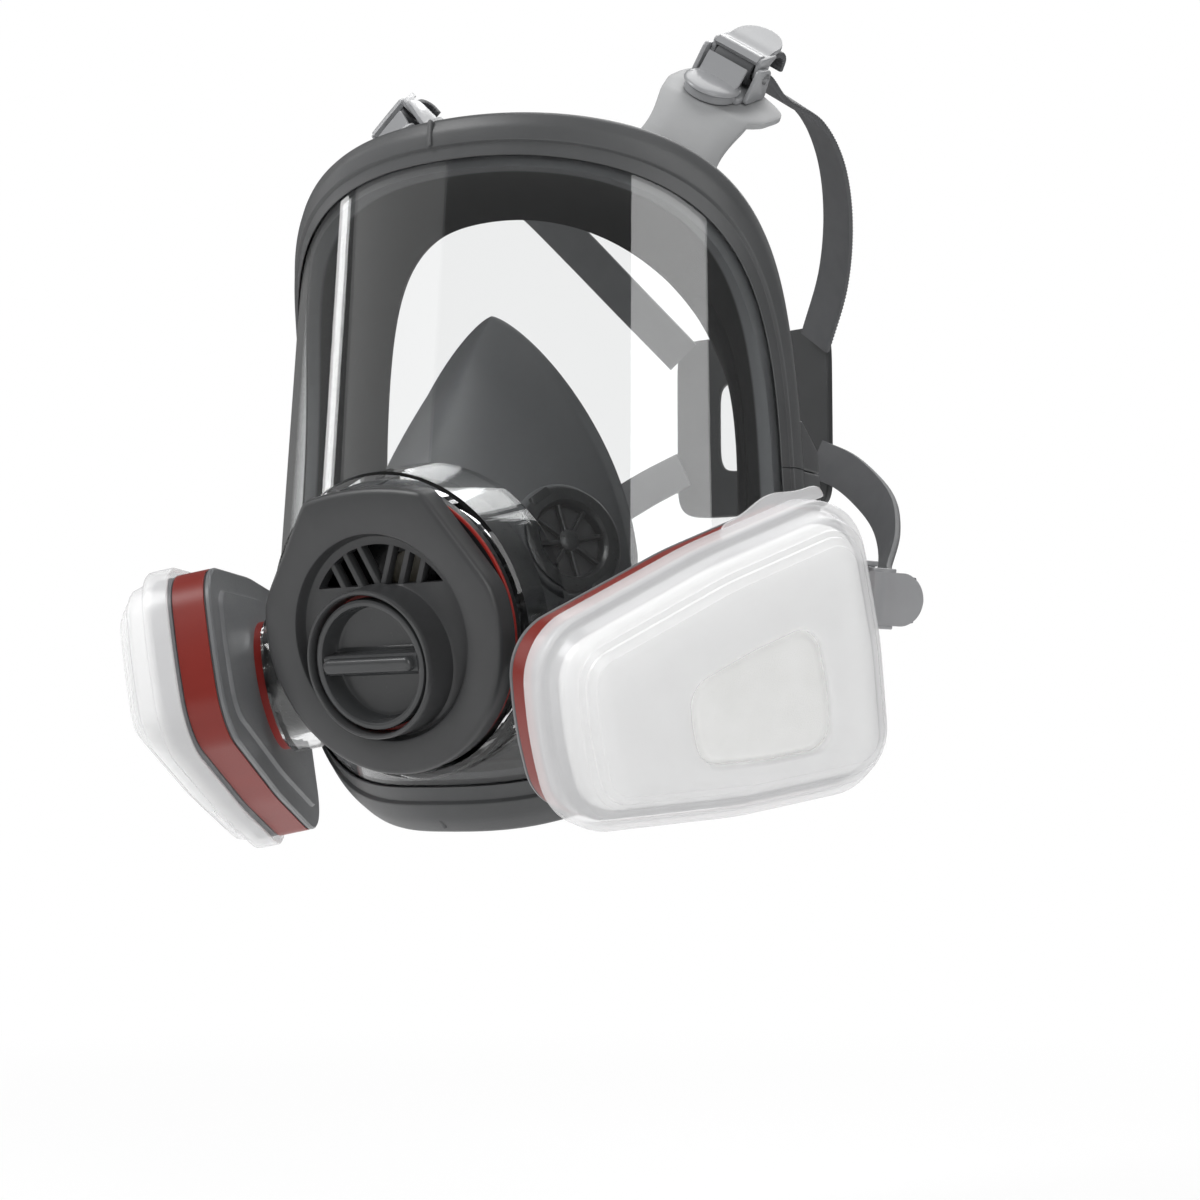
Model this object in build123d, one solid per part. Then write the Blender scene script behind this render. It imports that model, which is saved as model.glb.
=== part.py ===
from build123d import *
import os
from math import atan2, copysign, cos, degrees, pi, radians, sin, sqrt

os.makedirs("parts", exist_ok=True)

# Full face respirator. Millimetres, +Z up, the mask faces -Y and the wearer's left is +X.
# The origin is the middle of the face opening.

# ---- driving dimensions -------------------------------------------------------------------
# visor: a tall wrap-round shell, told by its half width, its front line and its two outlines
visor_half_width = 91.0          # at mid height
visor_taper = 0.06               # the half width lost for each mm up
chin_narrowing = 46.0            # the half width lost from the knee down to the chin
chin_knee_z = -30.0
chin_power = 1.6
visor_back_y = 5.5               # where the sides run straight back
visor_top_y = -49.0              # the front line at the top edge
visor_lean = 0.068               # the front line comes forward by this much for each mm down
visor_roll_z = -58.0             # below this the front line rolls back to the chin
visor_chin_y = -38.0
visor_roll_power = 2.3
visor_pinch = 0.1                # how much flatter than an ellipse the section is at 45 degrees
visor_wall = 2.5
visor_edge = 4.2                 # how far the clear wall ends inside the rim
rim_up = 105.7
rim_down = 105.9
rim_wrap = 95.5                  # degrees round the shell, from the front to the rim's side
rim_up_power = 2.63
rim_down_power = 2.9
upper_stations = (-12, 0, 8, 16, 25, 35, 47, 59, 70, 80)      # degrees round the rim from its top
lower_stations = (100, 110, 121, 133, 145, 155, 164, 172, 180, 192)

# visor frame
band_width = 9.0
band_proud = 2.2
lip_width = 4.0
lip_proud = 0.7
frame_wall = 3.2
frame_depth = 9.0
seat_gap = 0.35                  # between pieces that are clamped together
seam_gap = 0.3
lug_reach = 8.5
lug_up = 15.0
lug_down = 22.0
lug_thickness = 7.0
screw_radius = 1.5
screw_head_radius = 2.8
nut_radius = 2.8
nut_height = 2.4

# face opening and seal
opening_half_width = 68.0
opening_up = 79.0
opening_down = 78.0
opening_brow_y = -14.0
opening_temple_y = 18.0
opening_chin_y = 4.0
seal_wall = 4.0
seal_bead_depth = 6.0

# front cover, in its own plane: x to the wearer's left, y up, z out
cover_y = -75.0
cover_z = -50.0
cover_tilt = 14.3                # degrees, its face looks slightly down
cover_radius = 41.5
cover_flat_y = 39.0              # the height of the two corners at its top
cover_flat_half = 21.0
cover_shoulder_slope = 1.45      # how steeply its shoulders fall from the corners
cover_thickness = 8.0
recess_radius = 29.5
recess_y = -1.5
recess_depth = 4.0
vent_radius = 26.5
vent_sill_y = 13.0
fin_width = 1.8
fin_spacing = 6.2
fin_lean = 24.0
port_y = -8.0
port_bore_radius = 20.0
port_wall = 1.8
port_proud = 7.4
cap_radius = 18.8
cap_height = 9.0
cap_hollow_depth = 7.0
cap_bar_width = 4.4
cap_bar_proud = 2.2

# clear turret of the visor and the valve housing inside it
turret_radius = 45.0
turret_wall = 2.3
turret_depth = 32.0
housing_wall = 3.0
housing_clearance = 0.4
housing_depth = 25.0
exhaust_y = -10.0
exhaust_radius = 12.5
voice_y = 14.0
voice_radius = 10.0
spigot_length = 4.0
flap_thickness = 0.8

# nose cup
cup_wall = 2.2
cup_front_radius = 30.0
cup_half_width = 46.0
cup_top_z = 50.0
cup_bottom_z = -72.0
cup_top_y = -20.0
cup_bottom_y = -8.0
cheek_valve = (37.0, -33.0, -22.0)
cheek_valve_yaw = 62.0           # degrees from straight ahead towards the side
cheek_valve_pitch = 12.0         # degrees up
cheek_valve_radius = 15.0

# filter cartridges, each in a plane of its own: x along it, y across it, z out
filter_stand_off = 3.0           # the planes' middles are this far outside the visor's half width
filter_origin = (visor_half_width + filter_stand_off, -40.6, -65.0)
filter_yaw = 64.0
filter_pitch = -11.5
filter_turn_left = 17.3          # how far each cartridge is turned in its bayonet
filter_turn_right = -9.9
filter_length = 109.0
filter_half_narrow = 27.4
filter_half_wide = 45.1
filter_corner = 19.0
filter_bulge = 2.5
filter_side_radius = 120.0       # of the bend in the middle of each side
filter_shift = -3.0
retainer_wall = 1.4
retainer_skirt = 8.0
retainer_rise = 11.0
retainer_foot = 3.0              # the front's inset where it starts,
retainer_ledge = 4.5             # where its steep side ends
retainer_ledge_rise = 5.5
retainer_shoulder = 13.0         # and where its slanted shoulder ends
window_share = 0.4               # the window is this share of the outline
window_x = 3.0
window_y = -6.0
tab_x = 27.0
tab_y = 40.5
tab_turn = 6.6                   # degrees, along the long side
tab_length = 34.0
tab_reach = 6.0
tab_thickness = 1.6
case_inset = 3.0
case_wall = 1.8
case_front = -2.0
case_back = -19.0
step_inset = 10.0
step_back = -22.2
band_front = -8.6
band_back = -18.6
label_thickness = 0.35
bed_front = -5.0
bed_back = -13.5
pad_gap = 2.2                    # between the felt pad's sides and the retainer's
pad_ledge = 4.2
pad_top = 9.0
pad_rise = 10.4
fit_gap = 0.4                    # between pieces that come apart

# bayonet ports on the visor
bayonet_radius = 16.8
bayonet_wall = 2.2
bayonet_front = -15.5
bayonet_seat = -24.6
bayonet_back = -43.0
boss_radius = 22.0
boss_depth = 17.0
bayonet_lug = 1.9
gasket_width = 3.6

# harness
strap_width = 14.0
strap_thickness = 2.2
brow_root_angles = (25.0, 44.0)  # the stations of the rim that the lug grows from
brow_reach = (-11.5324, 35.5573, 27.8013)    # from the rim between them to the buckle's button
brow_look = (52.4, 45.4, 49.5)   # the lug's yaw and pitch away from the head, and the strap's turn
brow_buckle_turn = -12.0         # how far the buckle is turned on the lug, outwards from its look
cheek_root_angles = (102.0, 119.0)
cheek_reach = (-2.6, 18.0, 4.0)
cheek_look = (64.3, -7.7, 0.0)
lug_crown = 1.0
lug_waist = 0.8                  # the neck's width at its middle, as a share of its ends
lug_plate_thickness = 2.6
# a lug's flat end round the button: towards the strap, then across, from one corner of the neck
lug_outline = ((-8.0, -17.0), (-4.5, -20.0), (7.0, -22.5), (11.0, -20.0), (18.0, -8.0), (18.0, 8.0),
               (12.0, 12.5), (1.0, 14.5), (-8.0, 13.0))
button_radius = 6.8
button_height = 3.0
base_thickness = 2.2
base_rim = 2.4
pin_radius = 2.0
pin_reach = 12.0
pin_height = 7.6
lever_length = 8.0
lever_thickness = 1.6
ear_thickness = 1.6
tail_reach = 17.0                # how far the strap's free tail reaches past the pin
strap_slack = 0.3                # round the pin and under the lever
strap_lap = 4.5                  # how far in from the rear pad's side edge a strap ends
# each strap's run: how far out from its end at the pad (0) to its buckle's button (1), then y and z
brow_strap = ((1.067, 52.0, 132.0), (1.13, 75.0, 130.0), (1.033, 97.0, 122.0), (0.806, 118.0, 108.0),
              (0.451, 137.0, 90.0), (0.0, 151.0, 71.0))
cheek_strap = ((0.985, 72.0, -27.0), (0.862, 97.0, -14.0), (0.679, 119.0, 0.0), (0.435, 138.0, 12.0),
               (0.206, 147.5, 22.0), (0.0, 151.0, 28.0))
rear_pad_y = 158.0
rear_pad_z = 44.0
rear_pad_half_width = 32.0
rear_pad_half_height = 34.0
rear_pad_thickness = 3.0


# ---- small helpers ------------------------------------------------------------------------
def write(node, shape):
    """One STEP file for each named piece."""
    shape.label = node
    export_step(shape, f"parts/{node}.step")


def mirrored(shape):
    return mirror(shape, about=Plane.YZ)


def tube(outer, inner, low, high):
    """A tube along the local z from low to high."""
    ring = Circle(outer) - Circle(inner)
    return extrude(Plane.XY.offset(low) * ring, amount=high - low)


def rod(radius, low, high):
    return extrude(Plane.XY.offset(low) * Circle(radius), amount=high - low)


# ---- visor surface ------------------------------------------------------------------------
def half_width(z):
    """The visor's half width at a height: a slight taper, then the narrowing chin."""
    if z > chin_knee_z:
        return visor_half_width - visor_taper * z
    drop = (chin_knee_z - z) / (rim_down + chin_knee_z)
    knee = visor_half_width - visor_taper * chin_knee_z
    return knee - chin_narrowing * drop ** chin_power


def front_y(z):
    """The visor's front line: a straight lean, then a roll back to the chin."""
    lean = visor_top_y - visor_lean * (rim_up - max(z, visor_roll_z))
    reach = max((visor_roll_z - z) / (rim_down + visor_roll_z), 0)
    return lean + (visor_chin_y - lean) * reach ** visor_roll_power


def visor_point(turn, z):
    """A point of the visor's outer face: a slightly pinched ellipse at each height."""
    held = min(max(turn, -pi / 2), pi / 2)
    x = half_width(z) * sin(held) * (1 - visor_pinch * cos(held) ** 2)
    y = visor_back_y - (visor_back_y - front_y(z)) * cos(turn) * (1 - visor_pinch * sin(held) ** 2)
    return Vector(x, y, z)


def visor_normal(turn, z):
    step = 0.03
    across = visor_point(turn + step, z) - visor_point(turn - step, z)
    up = visor_point(turn, z + 1) - visor_point(turn, z - 1)
    return across.cross(up).normalized()


def rim_turn_height(angle, inset=0):
    """The rim's superellipse on the unrolled visor: angle 0 is the top, 90 the wearer's left."""
    s = sin(radians(angle))
    c = cos(radians(angle))
    upper = c > 0
    exponent = rim_up_power if upper else rim_down_power
    reach = (rim_up if upper else rim_down) - inset
    wrap = radians(rim_wrap) - inset / (visor_back_y - front_y(0))
    scale = (abs(s) ** exponent + abs(c) ** exponent) ** (-1 / exponent)
    return wrap * scale * s, reach * scale * c


def rim_point(angle, inset=0):
    return visor_point(*rim_turn_height(angle, inset))


def rim_axes(angle):
    """At a station of the rim: its point, the way in along the visor and the way out of it."""
    point = rim_point(angle)
    along = (rim_point(angle + 0.5) - rim_point(angle - 0.5)).normalized()
    outward = visor_normal(*rim_turn_height(angle, 2))
    outward = (outward - along * outward.dot(along)).normalized()
    return point, along.cross(outward), outward


def rim_section(angle, outline):
    """A flat polygon at a station, each corner told by its inset and its height off the visor."""
    point, inward, outward = rim_axes(angle)
    corners = []
    for inset, height in outline:
        lay = rim_point(angle, inset) + visor_normal(*rim_turn_height(angle, inset)) * height - point
        corners.append(point + inward * lay.dot(inward) + outward * lay.dot(outward))
    return Wire.make_polygon(corners, close=True)


def opening_point(angle):
    """The edge of the face opening, which follows the brow, the temples and the chin."""
    s = sin(radians(angle))
    c = cos(radians(angle))
    scale = (abs(s) ** 2.3 + abs(c) ** 2.3) ** (-1 / 2.3)
    middle_y = opening_brow_y if c > 0 else opening_chin_y
    x = opening_half_width * scale * s
    z = (opening_up if c > 0 else opening_down) * scale * c
    return Vector(x, middle_y + (opening_temple_y - middle_y) * (scale * s) ** 2, z)


def ring_half(section, stations):
    """A ring's half on the wearer's left, lofted from past the middle plane and cut there."""
    whole = Solid.make_loft([section(angle) for angle in stations])
    return whole & Pos(2 * rim_up, 0, 0) * Box(4 * rim_up, 4 * rim_up, 4 * rim_up)


# ---- visor --------------------------------------------------------------------------------
def visor_sheet(height, edge):
    """A smooth face over the rim's outline, mapped from a square, at a height off the visor.

    edge is how far inside the rim the face ends."""
    count = 17
    rows = []
    for i in range(count):
        row = []
        for j in range(count):
            u = 2 * i / (count - 1) - 1
            v = 2 * j / (count - 1) - 1
            across = u * sqrt(1 - v * v / 2)
            up = v * sqrt(1 - u * u / 2)
            reach = across ** 2 + up ** 2
            edge_turn, edge_z = rim_turn_height(degrees(atan2(across, up)), edge)
            full = sqrt(reach)
            blend = min(reach, 1)
            plain_z = rim_up if up > 0 else rim_down
            turn = radians(rim_wrap) * across * (1 - blend) + edge_turn * full * blend
            z = (plain_z - edge) * up * (1 - blend) + edge_z * full * blend
            row.append(visor_point(turn, z) + visor_normal(turn, z) * height)
        rows.append(row)
    return Face.make_surface_from_array_of_points(rows, tol=0.05, min_deg=3, max_deg=5)


def visor_shell(gap=0):
    """The clear wall between an outer and an inner sheet, or with a gap the room it needs."""
    outer = visor_sheet(gap, visor_edge - gap)
    inner = visor_sheet(-visor_wall - gap, visor_edge - gap)
    sides = [Face.make_surface_from_curves(a, b) for a, b in matched_edges(outer, inner)]
    return Solid(Shell([outer, inner, *sides]))


def matched_edges(outer, inner):
    """Each edge of the outer sheet with the nearest edge of the inner one."""
    pairs = []
    for edge in outer.edges():
        middle = edge @ 0.5
        pairs.append((edge, min(inner.edges(), key=lambda other: (other @ 0.5 - middle).length)))
    return pairs


cover_plane = Plane(
    origin=(0, cover_y, cover_z),
    x_dir=(1, 0, 0),
    z_dir=(0, -cos(radians(cover_tilt)), -sin(radians(cover_tilt))),
)


def lug_anchor(angles, reach):
    """The middle of a buckle's button, told from the rim between the lug's two stations."""
    return rim_point(sum(angles) / 2) + Vector(*reach)


def aimed_plane(origin, yaw, pitch, turn=0):
    """A plane that looks out at a yaw from straight ahead and a pitch up, turned about its z."""
    ahead = cos(radians(pitch))
    look = Vector(sin(radians(yaw)) * ahead, -cos(radians(yaw)) * ahead, sin(radians(pitch)))
    level = Vector(cos(radians(yaw)), sin(radians(yaw)), 0)
    return Plane(Plane(origin=origin, x_dir=level, z_dir=look).location * Location((0, 0, 0), (0, 0, turn)))


def port_plane():
    return aimed_plane(filter_origin, filter_yaw, filter_pitch)


def port_room():
    """The space that one port's boss takes, from behind its flange to its seat."""
    return port_plane() * rod(boss_radius + seat_gap, bayonet_back - 8, bayonet_seat)


def make_visor():
    """The clear shell with its front turret and the two bosses of the bayonet ports."""
    shell = visor_shell()
    bosses = []
    for side in (Plane.XY, None):
        boss = port_plane() * tube(
            boss_radius, bayonet_radius + seat_gap, bayonet_seat - boss_depth, bayonet_seat
        )
        hole = port_plane() * rod(bayonet_radius + seat_gap, bayonet_seat - 2 * boss_depth, bayonet_seat)
        if side is None:
            boss = mirrored(boss)
            hole = mirrored(hole)
        shell = shell - hole
        bosses.append(boss)
    inner = turret_radius - turret_wall
    shell = shell - cover_plane * rod(inner, -2 * turret_depth, 0)
    turret = cover_plane * tube(turret_radius, inner, -turret_depth, -cover_thickness - seat_gap)
    return shell + turret + bosses[0] + bosses[1]


# ---- frame --------------------------------------------------------------------------------
def frame_outline():
    """The frame's section: an outer wall behind the visor's edge and a band over its front."""
    lip_end = band_width + lip_width
    return [
        (0, -frame_depth),
        (0, band_proud - 0.9),
        (0.9, band_proud),
        (band_width, band_proud),
        (lip_end, lip_proud),
        (lip_end, seat_gap),
        (lip_end * 0.62, seat_gap),
        (frame_wall, seat_gap),
        (frame_wall, -frame_depth),
    ]


def frame_half(stations):
    return ring_half(lambda angle: rim_section(angle, frame_outline()), stations)


def lug_plane():
    """At the rim's side: x back along the visor, y up, z out."""
    point, inward, outward = rim_axes(90)
    return Plane(origin=point, x_dir=-inward, z_dir=outward)


def frame_lug(low, high):
    """A lug behind the rim at the seam, from a low to a high height, tapered away from it."""
    far = high if abs(high) > abs(low) else low
    near = low if far == high else high
    middle = near + (far - near) * 0.45
    outline = Polygon((-1, near), (lug_reach, near), (lug_reach, middle), (-1, far), align=None)
    return extrude(lug_plane().offset(band_proud - lug_thickness) * outline, amount=lug_thickness)


def screw_plane():
    """Up the screw of the lugs, from the seam."""
    plane = lug_plane()
    spot = plane.origin + plane.x_dir * (lug_reach * 0.55) + plane.z_dir * (band_proud - lug_thickness / 2)
    return Plane(origin=spot, x_dir=plane.x_dir, z_dir=(0, 0, 1))


def make_frames():
    seam_half = seam_gap / 2
    turn_per_mm = degrees(1 / rim_up)
    upper = frame_half((*upper_stations, 90 - seam_half * turn_per_mm))
    lower = frame_half((90 + seam_half * turn_per_mm, *lower_stations))
    bore = screw_plane() * rod(screw_radius + 0.1, -lug_down, lug_up)
    head_seat = screw_plane() * rod(screw_head_radius + 0.2, lug_up * 0.5, lug_up)
    nut_seat = screw_plane() * rod(nut_radius + 0.2, -lug_down, -lug_down * 0.35)
    upper = upper + frame_lug(seam_half, lug_up) - bore - head_seat
    lower = lower + frame_lug(-seam_half, -lug_down) - bore - nut_seat
    nub_up = Pos(0, visor_top_y - band_proud - 0.4, rim_up - 4.6) * Box(2.2, 1.6, 8.5)
    upper = upper + mirrored(upper) + nub_up
    chin = rim_axes(180)
    nub_at = chin[0] + chin[1] * (band_width / 2) + chin[2] * band_proud
    nub_down = Plane(origin=nub_at, x_dir=(1, 0, 0), z_dir=chin[2]) * Box(2.2, 7.0, 1.6)
    lower = lower + mirrored(lower) + nub_down
    room = port_room()
    return upper - visor_shell(seat_gap), lower - room - mirrored(room) - visor_shell(seat_gap)


def make_screws():
    shank = screw_plane() * rod(screw_radius, -lug_down * 0.35 - nut_height, lug_up * 0.5)
    head = screw_plane() * rod(screw_head_radius, lug_up * 0.5, lug_up * 0.5 + 2)
    screw = shank + head
    ring = RegularPolygon(nut_radius, 6) - Circle(screw_radius)
    start = -lug_down * 0.35 - nut_height
    nut = extrude(screw_plane().offset(start) * ring, amount=nut_height)
    return Compound([screw, mirrored(screw)]), Compound([nut, mirrored(nut)])


# ---- face seal ----------------------------------------------------------------------------
def seal_section(angle):
    """A clamped bead behind the visor's edge and a wall that runs in to the face opening."""
    point, inward, outward = rim_axes(angle)
    edge = opening_point(angle)
    bead = visor_wall + seat_gap
    corners = []
    for inset in (visor_edge + 0.2, band_width + lip_width):
        lay = rim_point(angle, inset) - visor_normal(*rim_turn_height(angle, inset)) * bead - point
        corners.append(point + inward * lay.dot(inward) + outward * lay.dot(outward))
    corners.append(corners[1] - outward * seal_bead_depth)
    reach = (edge - corners[2]).normalized()
    across = (inward - reach * inward.dot(reach)).normalized() * (seal_wall / 2)
    corners.append(edge + across)
    corners.append(edge - across)
    corners.append(corners[0] - outward * (seal_bead_depth + seal_wall))
    if not 0 <= angle <= 180:
        side = (edge - point).cross(outward).normalized()
        corners = [corner - side * (corner - point).dot(side) for corner in corners]
    return Wire.make_polygon(corners, close=True)


def lug_root(angle):
    """Where a lug grows out of the seal: behind the frame's wall, at a station of the rim."""
    point, inward, outward = rim_axes(angle)
    return point + inward * (frame_wall + 2) - outward * (frame_depth + 1 + lug_plate_thickness)


def strap_lug(plane, angles):
    """A paddle from two stations of the seal to a round end, with the buckle's button on it.

    The end's plane has x towards the strap, y across and z away from the head."""
    first, last = [lug_root(angle) for angle in angles]
    start = [plane.from_local_coords(Vector(*lug_outline[i], 0)) for i in (-1, 0)]
    if (first - start[0]).length > (last - start[0]).length:
        first, last = last, first
    outward = rim_axes(sum(angles) / 2)[2]
    sections = []
    for share in (0, 0.5, 1):
        thick = (outward * (1 - share) + plane.z_dir * share).normalized() * lug_plate_thickness
        rise = thick * (4 * lug_crown * share * (1 - share) / lug_plate_thickness)
        waist = 1 - (1 - lug_waist) * 4 * share * (1 - share)
        a = first * (1 - share) + start[0] * share + rise
        b = last * (1 - share) + start[1] * share + rise
        half = (b - a) * (waist / 2)
        middle = (a + b) / 2
        corners = [middle - half, middle + half, middle + half - thick, middle - half - thick]
        sections.append(Wire.make_polygon(corners, close=True))
    neck = Solid.make_loft(sections) - plane * rod(button_radius + base_rim + 0.4, 0, 3 * lug_crown)
    flat = Plane.XY.offset(-lug_plate_thickness) * Polygon(*lug_outline, align=None)
    end = extrude(flat, amount=lug_plate_thickness) + rod(button_radius, -1, button_height)
    return neck + plane * end


def make_seal(lugs):
    half = ring_half(seal_section, (*upper_stations, 90, *lower_stations))
    for lug in lugs:
        half = half + lug
    turret_room = cover_plane * rod(turret_radius + seat_gap, -turret_depth - seat_gap, 0)
    half = half - port_room() - turret_room - visor_shell(seat_gap)
    return half + mirrored(half)


# ---- front cover, port and cap ------------------------------------------------------------
def cover_sketch():
    """A disc with a flat top and two slanted shoulders."""
    side = cover_radius + 1
    apex = cover_flat_y + cover_flat_half * cover_shoulder_slope
    low = apex - side * cover_shoulder_slope
    shoulder = Polygon((0, apex), (-side, low), (-side, -side), (side, -side), (side, low), align=None)
    foot = cover_flat_y * 0.4
    spread = cover_flat_half + (cover_flat_y - foot) / cover_shoulder_slope
    top = Polygon((-cover_flat_half, cover_flat_y), (-spread, foot), (spread, foot),
                  (cover_flat_half, cover_flat_y), align=None)
    return (Circle(cover_radius) + top) & shoulder


def vent_sketch():
    field = Pos(0, recess_y) * Circle(vent_radius)
    above = Pos(0, vent_sill_y + vent_radius) * Rectangle(3 * vent_radius, 2 * vent_radius)
    return field & above


def fins():
    """Slanted bars across the vents, which lean outwards on each side of the middle."""
    bars = []
    for side in (-1, 1):
        for i in range(3):
            spot = Location((side * fin_spacing * (i + 0.55), vent_sill_y + 6, 0), (0, 0, -side * fin_lean))
            bars.append(spot * Rectangle(fin_width, 20))
    field = bars[0]
    for bar in bars[1:]:
        field = field + bar
    return field & vent_sketch()


def make_cover():
    floor = -cover_thickness
    body = extrude(Plane.XY.offset(floor) * cover_sketch(), amount=cover_thickness)
    body = body - Pos(0, recess_y, 0) * rod(recess_radius, -recess_depth, 1)
    body = body - extrude(Plane.XY.offset(floor - 1) * vent_sketch(), amount=cover_thickness)
    body = body + extrude(Plane.XY.offset(floor) * fins(), amount=cover_thickness - recess_depth)
    outer = port_bore_radius + port_wall
    body = body - Pos(0, port_y, 0) * rod(outer, floor - 1, 1)
    body = body + Pos(0, port_y, 0) * tube(outer, port_bore_radius, floor, port_proud)
    return cover_plane * body


def make_cap():
    """A round plug with a finger bar between two hollows."""
    top = port_proud - 1.2
    plug = rod(cap_radius, top - cap_height, top)
    hollow = Circle(cap_radius - 2.2) - Rectangle(3 * cap_radius, cap_bar_width + 1.6)
    plug = plug - extrude(Plane.XY.offset(top - cap_hollow_depth) * hollow, amount=cap_hollow_depth + 1)
    slot = Plane.XY.offset(top - cap_hollow_depth) * SlotOverall(2 * cap_radius - 2, cap_bar_width)
    bar = extrude(slot, amount=cap_hollow_depth + cap_bar_proud)
    groove = tube(cap_radius + 1, cap_radius - 1.2, top - cap_height + 1.5, top - cap_height + 3.5)
    gasket_low = top - cap_height + 1.55
    gasket = tube(port_bore_radius - 0.15, cap_radius - 1.15, gasket_low, gasket_low + 1.9)
    place = cover_plane * Pos(0, port_y, 0)
    return place * (plug + bar - groove), place * gasket


def make_cover_gasket():
    """A thin ring behind the cover, round the valve housing's mouth."""
    outer = turret_radius - turret_wall - seat_gap
    return cover_plane * tube(outer, outer - 2.0, -cover_thickness - 2.6, -cover_thickness - 0.1)


# ---- valve housing behind the cover -------------------------------------------------------
def spoked_ring(outer, inner, thickness, spokes):
    """A valve seat: a ring, a hub and straight spokes, from z 0 up."""
    seat = tube(outer, inner, 0, thickness) + rod(inner * 0.22, 0, thickness)
    for i in range(spokes):
        spoke = Rot(0, 0, 360 * i / spokes) * Pos(inner * 0.55, 0, thickness / 2)
        seat = seat + spoke * Box(inner * 1.05, 1.3, thickness)
    return seat


def make_housing():
    """A round housing in the turret: its floor holds the valve, its spigot the nose cup."""
    outer = turret_radius - turret_wall - housing_clearance - 2.2
    front = -cover_thickness - seat_gap
    floor_top = -housing_depth + 5
    wall = tube(outer, outer - housing_wall, -housing_depth, front)
    floor = rod(outer, floor_top - 2.5, floor_top)
    floor = floor - Pos(0, exhaust_y, 0) * rod(exhaust_radius + seat_gap, -housing_depth - 1, front)
    floor = floor - Pos(0, voice_y, 0) * rod(voice_radius - 2, -housing_depth - 1, front)
    spigot_radius = cup_front_radius - cup_wall - fit_gap
    spigot = tube(spigot_radius, spigot_radius - 2.2, -housing_depth - spigot_length, -housing_depth + 1)
    shoulder = tube(outer, spigot_radius - 2.2, -housing_depth, -housing_depth + 1.8)
    return cover_plane * (wall + floor + spigot + shoulder), floor_top


def make_valves(floor_top):
    seat_place = cover_plane * Pos(0, exhaust_y, floor_top - 2.5)
    seat = seat_place * spoked_ring(exhaust_radius, exhaust_radius - 3, 2.5, 6)
    flap_place = cover_plane * Pos(0, exhaust_y, floor_top + 0.2)
    flap = flap_place * rod(exhaust_radius - 1.0, 0, flap_thickness)
    voice_place = cover_plane * Pos(0, voice_y, floor_top + 0.05)
    film = voice_place * rod(voice_radius - 0.6, 0, 0.4)
    clamp = voice_place * tube(voice_radius, voice_radius - 3, 0.45, 2.4)
    return seat, flap, film, clamp


# ---- nose cup -----------------------------------------------------------------------------
def cup_section(depth, shrink):
    """A closed curve between the round front at depth 0 and the face edge at depth 1."""
    front = cover_plane * Pos(0, 0, -housing_depth - seat_gap)
    points = []
    for i in range(12):
        angle = 2 * pi * i / 12
        s = sin(angle)
        c = cos(angle)
        ring = cup_front_radius - shrink
        near = (front * Pos(ring * s, ring * c, 0)).position
        high = c > 0
        height = (cup_top_z if high else cup_bottom_z) - copysign(shrink, c)
        middle = -24.0
        wide = (cup_half_width - shrink) * (abs(s) ** (1.5 if high else 0.85)) * (1 - 0.12 * max(c, 0))
        z = middle + (height - middle) * abs(c) ** 1.05
        slope = (cup_top_y - cup_bottom_y) / (cup_top_z - cup_bottom_z)
        far = Vector(copysign(wide, s), cup_bottom_y + slope * (z - cup_bottom_z), z)
        share = depth ** 0.8
        points.append(near * (1 - share) + far * share)
    normal = (points[0] - points[3]).cross(points[6] - points[3]).normalized()
    base = (points[0] + points[6]) / 2
    flat = [p - normal * (p - base).dot(normal) for p in points]
    return Wire(Edge.make_spline(flat, periodic=True))


def cheek_plane():
    return aimed_plane(cheek_valve, cheek_valve_yaw, cheek_valve_pitch)


def make_cup():
    depths = (0, 0.45, 1)
    outer = Solid.make_loft([cup_section(depth, 0) for depth in depths])
    inner = Solid.make_loft([cup_section(depth, cup_wall) for depth in depths])
    hole = cheek_plane() * rod(cheek_valve_radius + 0.3, -12, 12)
    cup = outer - inner - hole - mirrored(hole)
    boss = cheek_plane() * tube(cheek_valve_radius + 2.6, cheek_valve_radius + 0.3, -5, 1.5)
    return cup + boss + mirrored(boss)


def make_cheek_valve():
    seat = cheek_plane() * Pos(0, 0, -1.2) * spoked_ring(cheek_valve_radius, cheek_valve_radius - 4, 2.4, 8)
    flap = cheek_plane() * rod(cheek_valve_radius - 2, -1.2 - 0.2 - flap_thickness, -1.2 - 0.2)
    return seat, flap


# ---- filter cartridges --------------------------------------------------------------------
def filter_sketch(inset=0):
    """A rounded trapezoid with slightly bulging sides, wide at +x."""
    half = filter_length / 2
    middle = (filter_half_narrow + filter_half_wide) / 2 + filter_bulge
    end = half + filter_bulge
    corners = [(-half, -filter_half_narrow), (0, -middle), (half, -filter_half_wide), (end, 0),
               (half, filter_half_wide), (0, middle), (-half, filter_half_narrow), (-end, 0)]
    radii = [filter_corner, filter_side_radius] * 4
    outline = make_face(FilletPolyline(*corners, radius=radii, close=True))
    if inset > 0:
        outline = offset(outline, amount=-inset)
    return Pos(filter_shift, 0) * outline


def filter_slab(inset, low, high):
    return extrude(Plane.XY.offset(low) * filter_sketch(inset), amount=high - low)


def stepped_form(steps):
    """Outlines of the cartridge at growing heights, each told by its inset, joined by flat sides."""
    faces = [Plane.XY.offset(height) * filter_sketch(inset) for inset, height in steps]
    form = loft(faces[:2])
    for low, high in zip(faces[1:], faces[2:]):
        form = form + loft([low, high])
    return form


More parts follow.
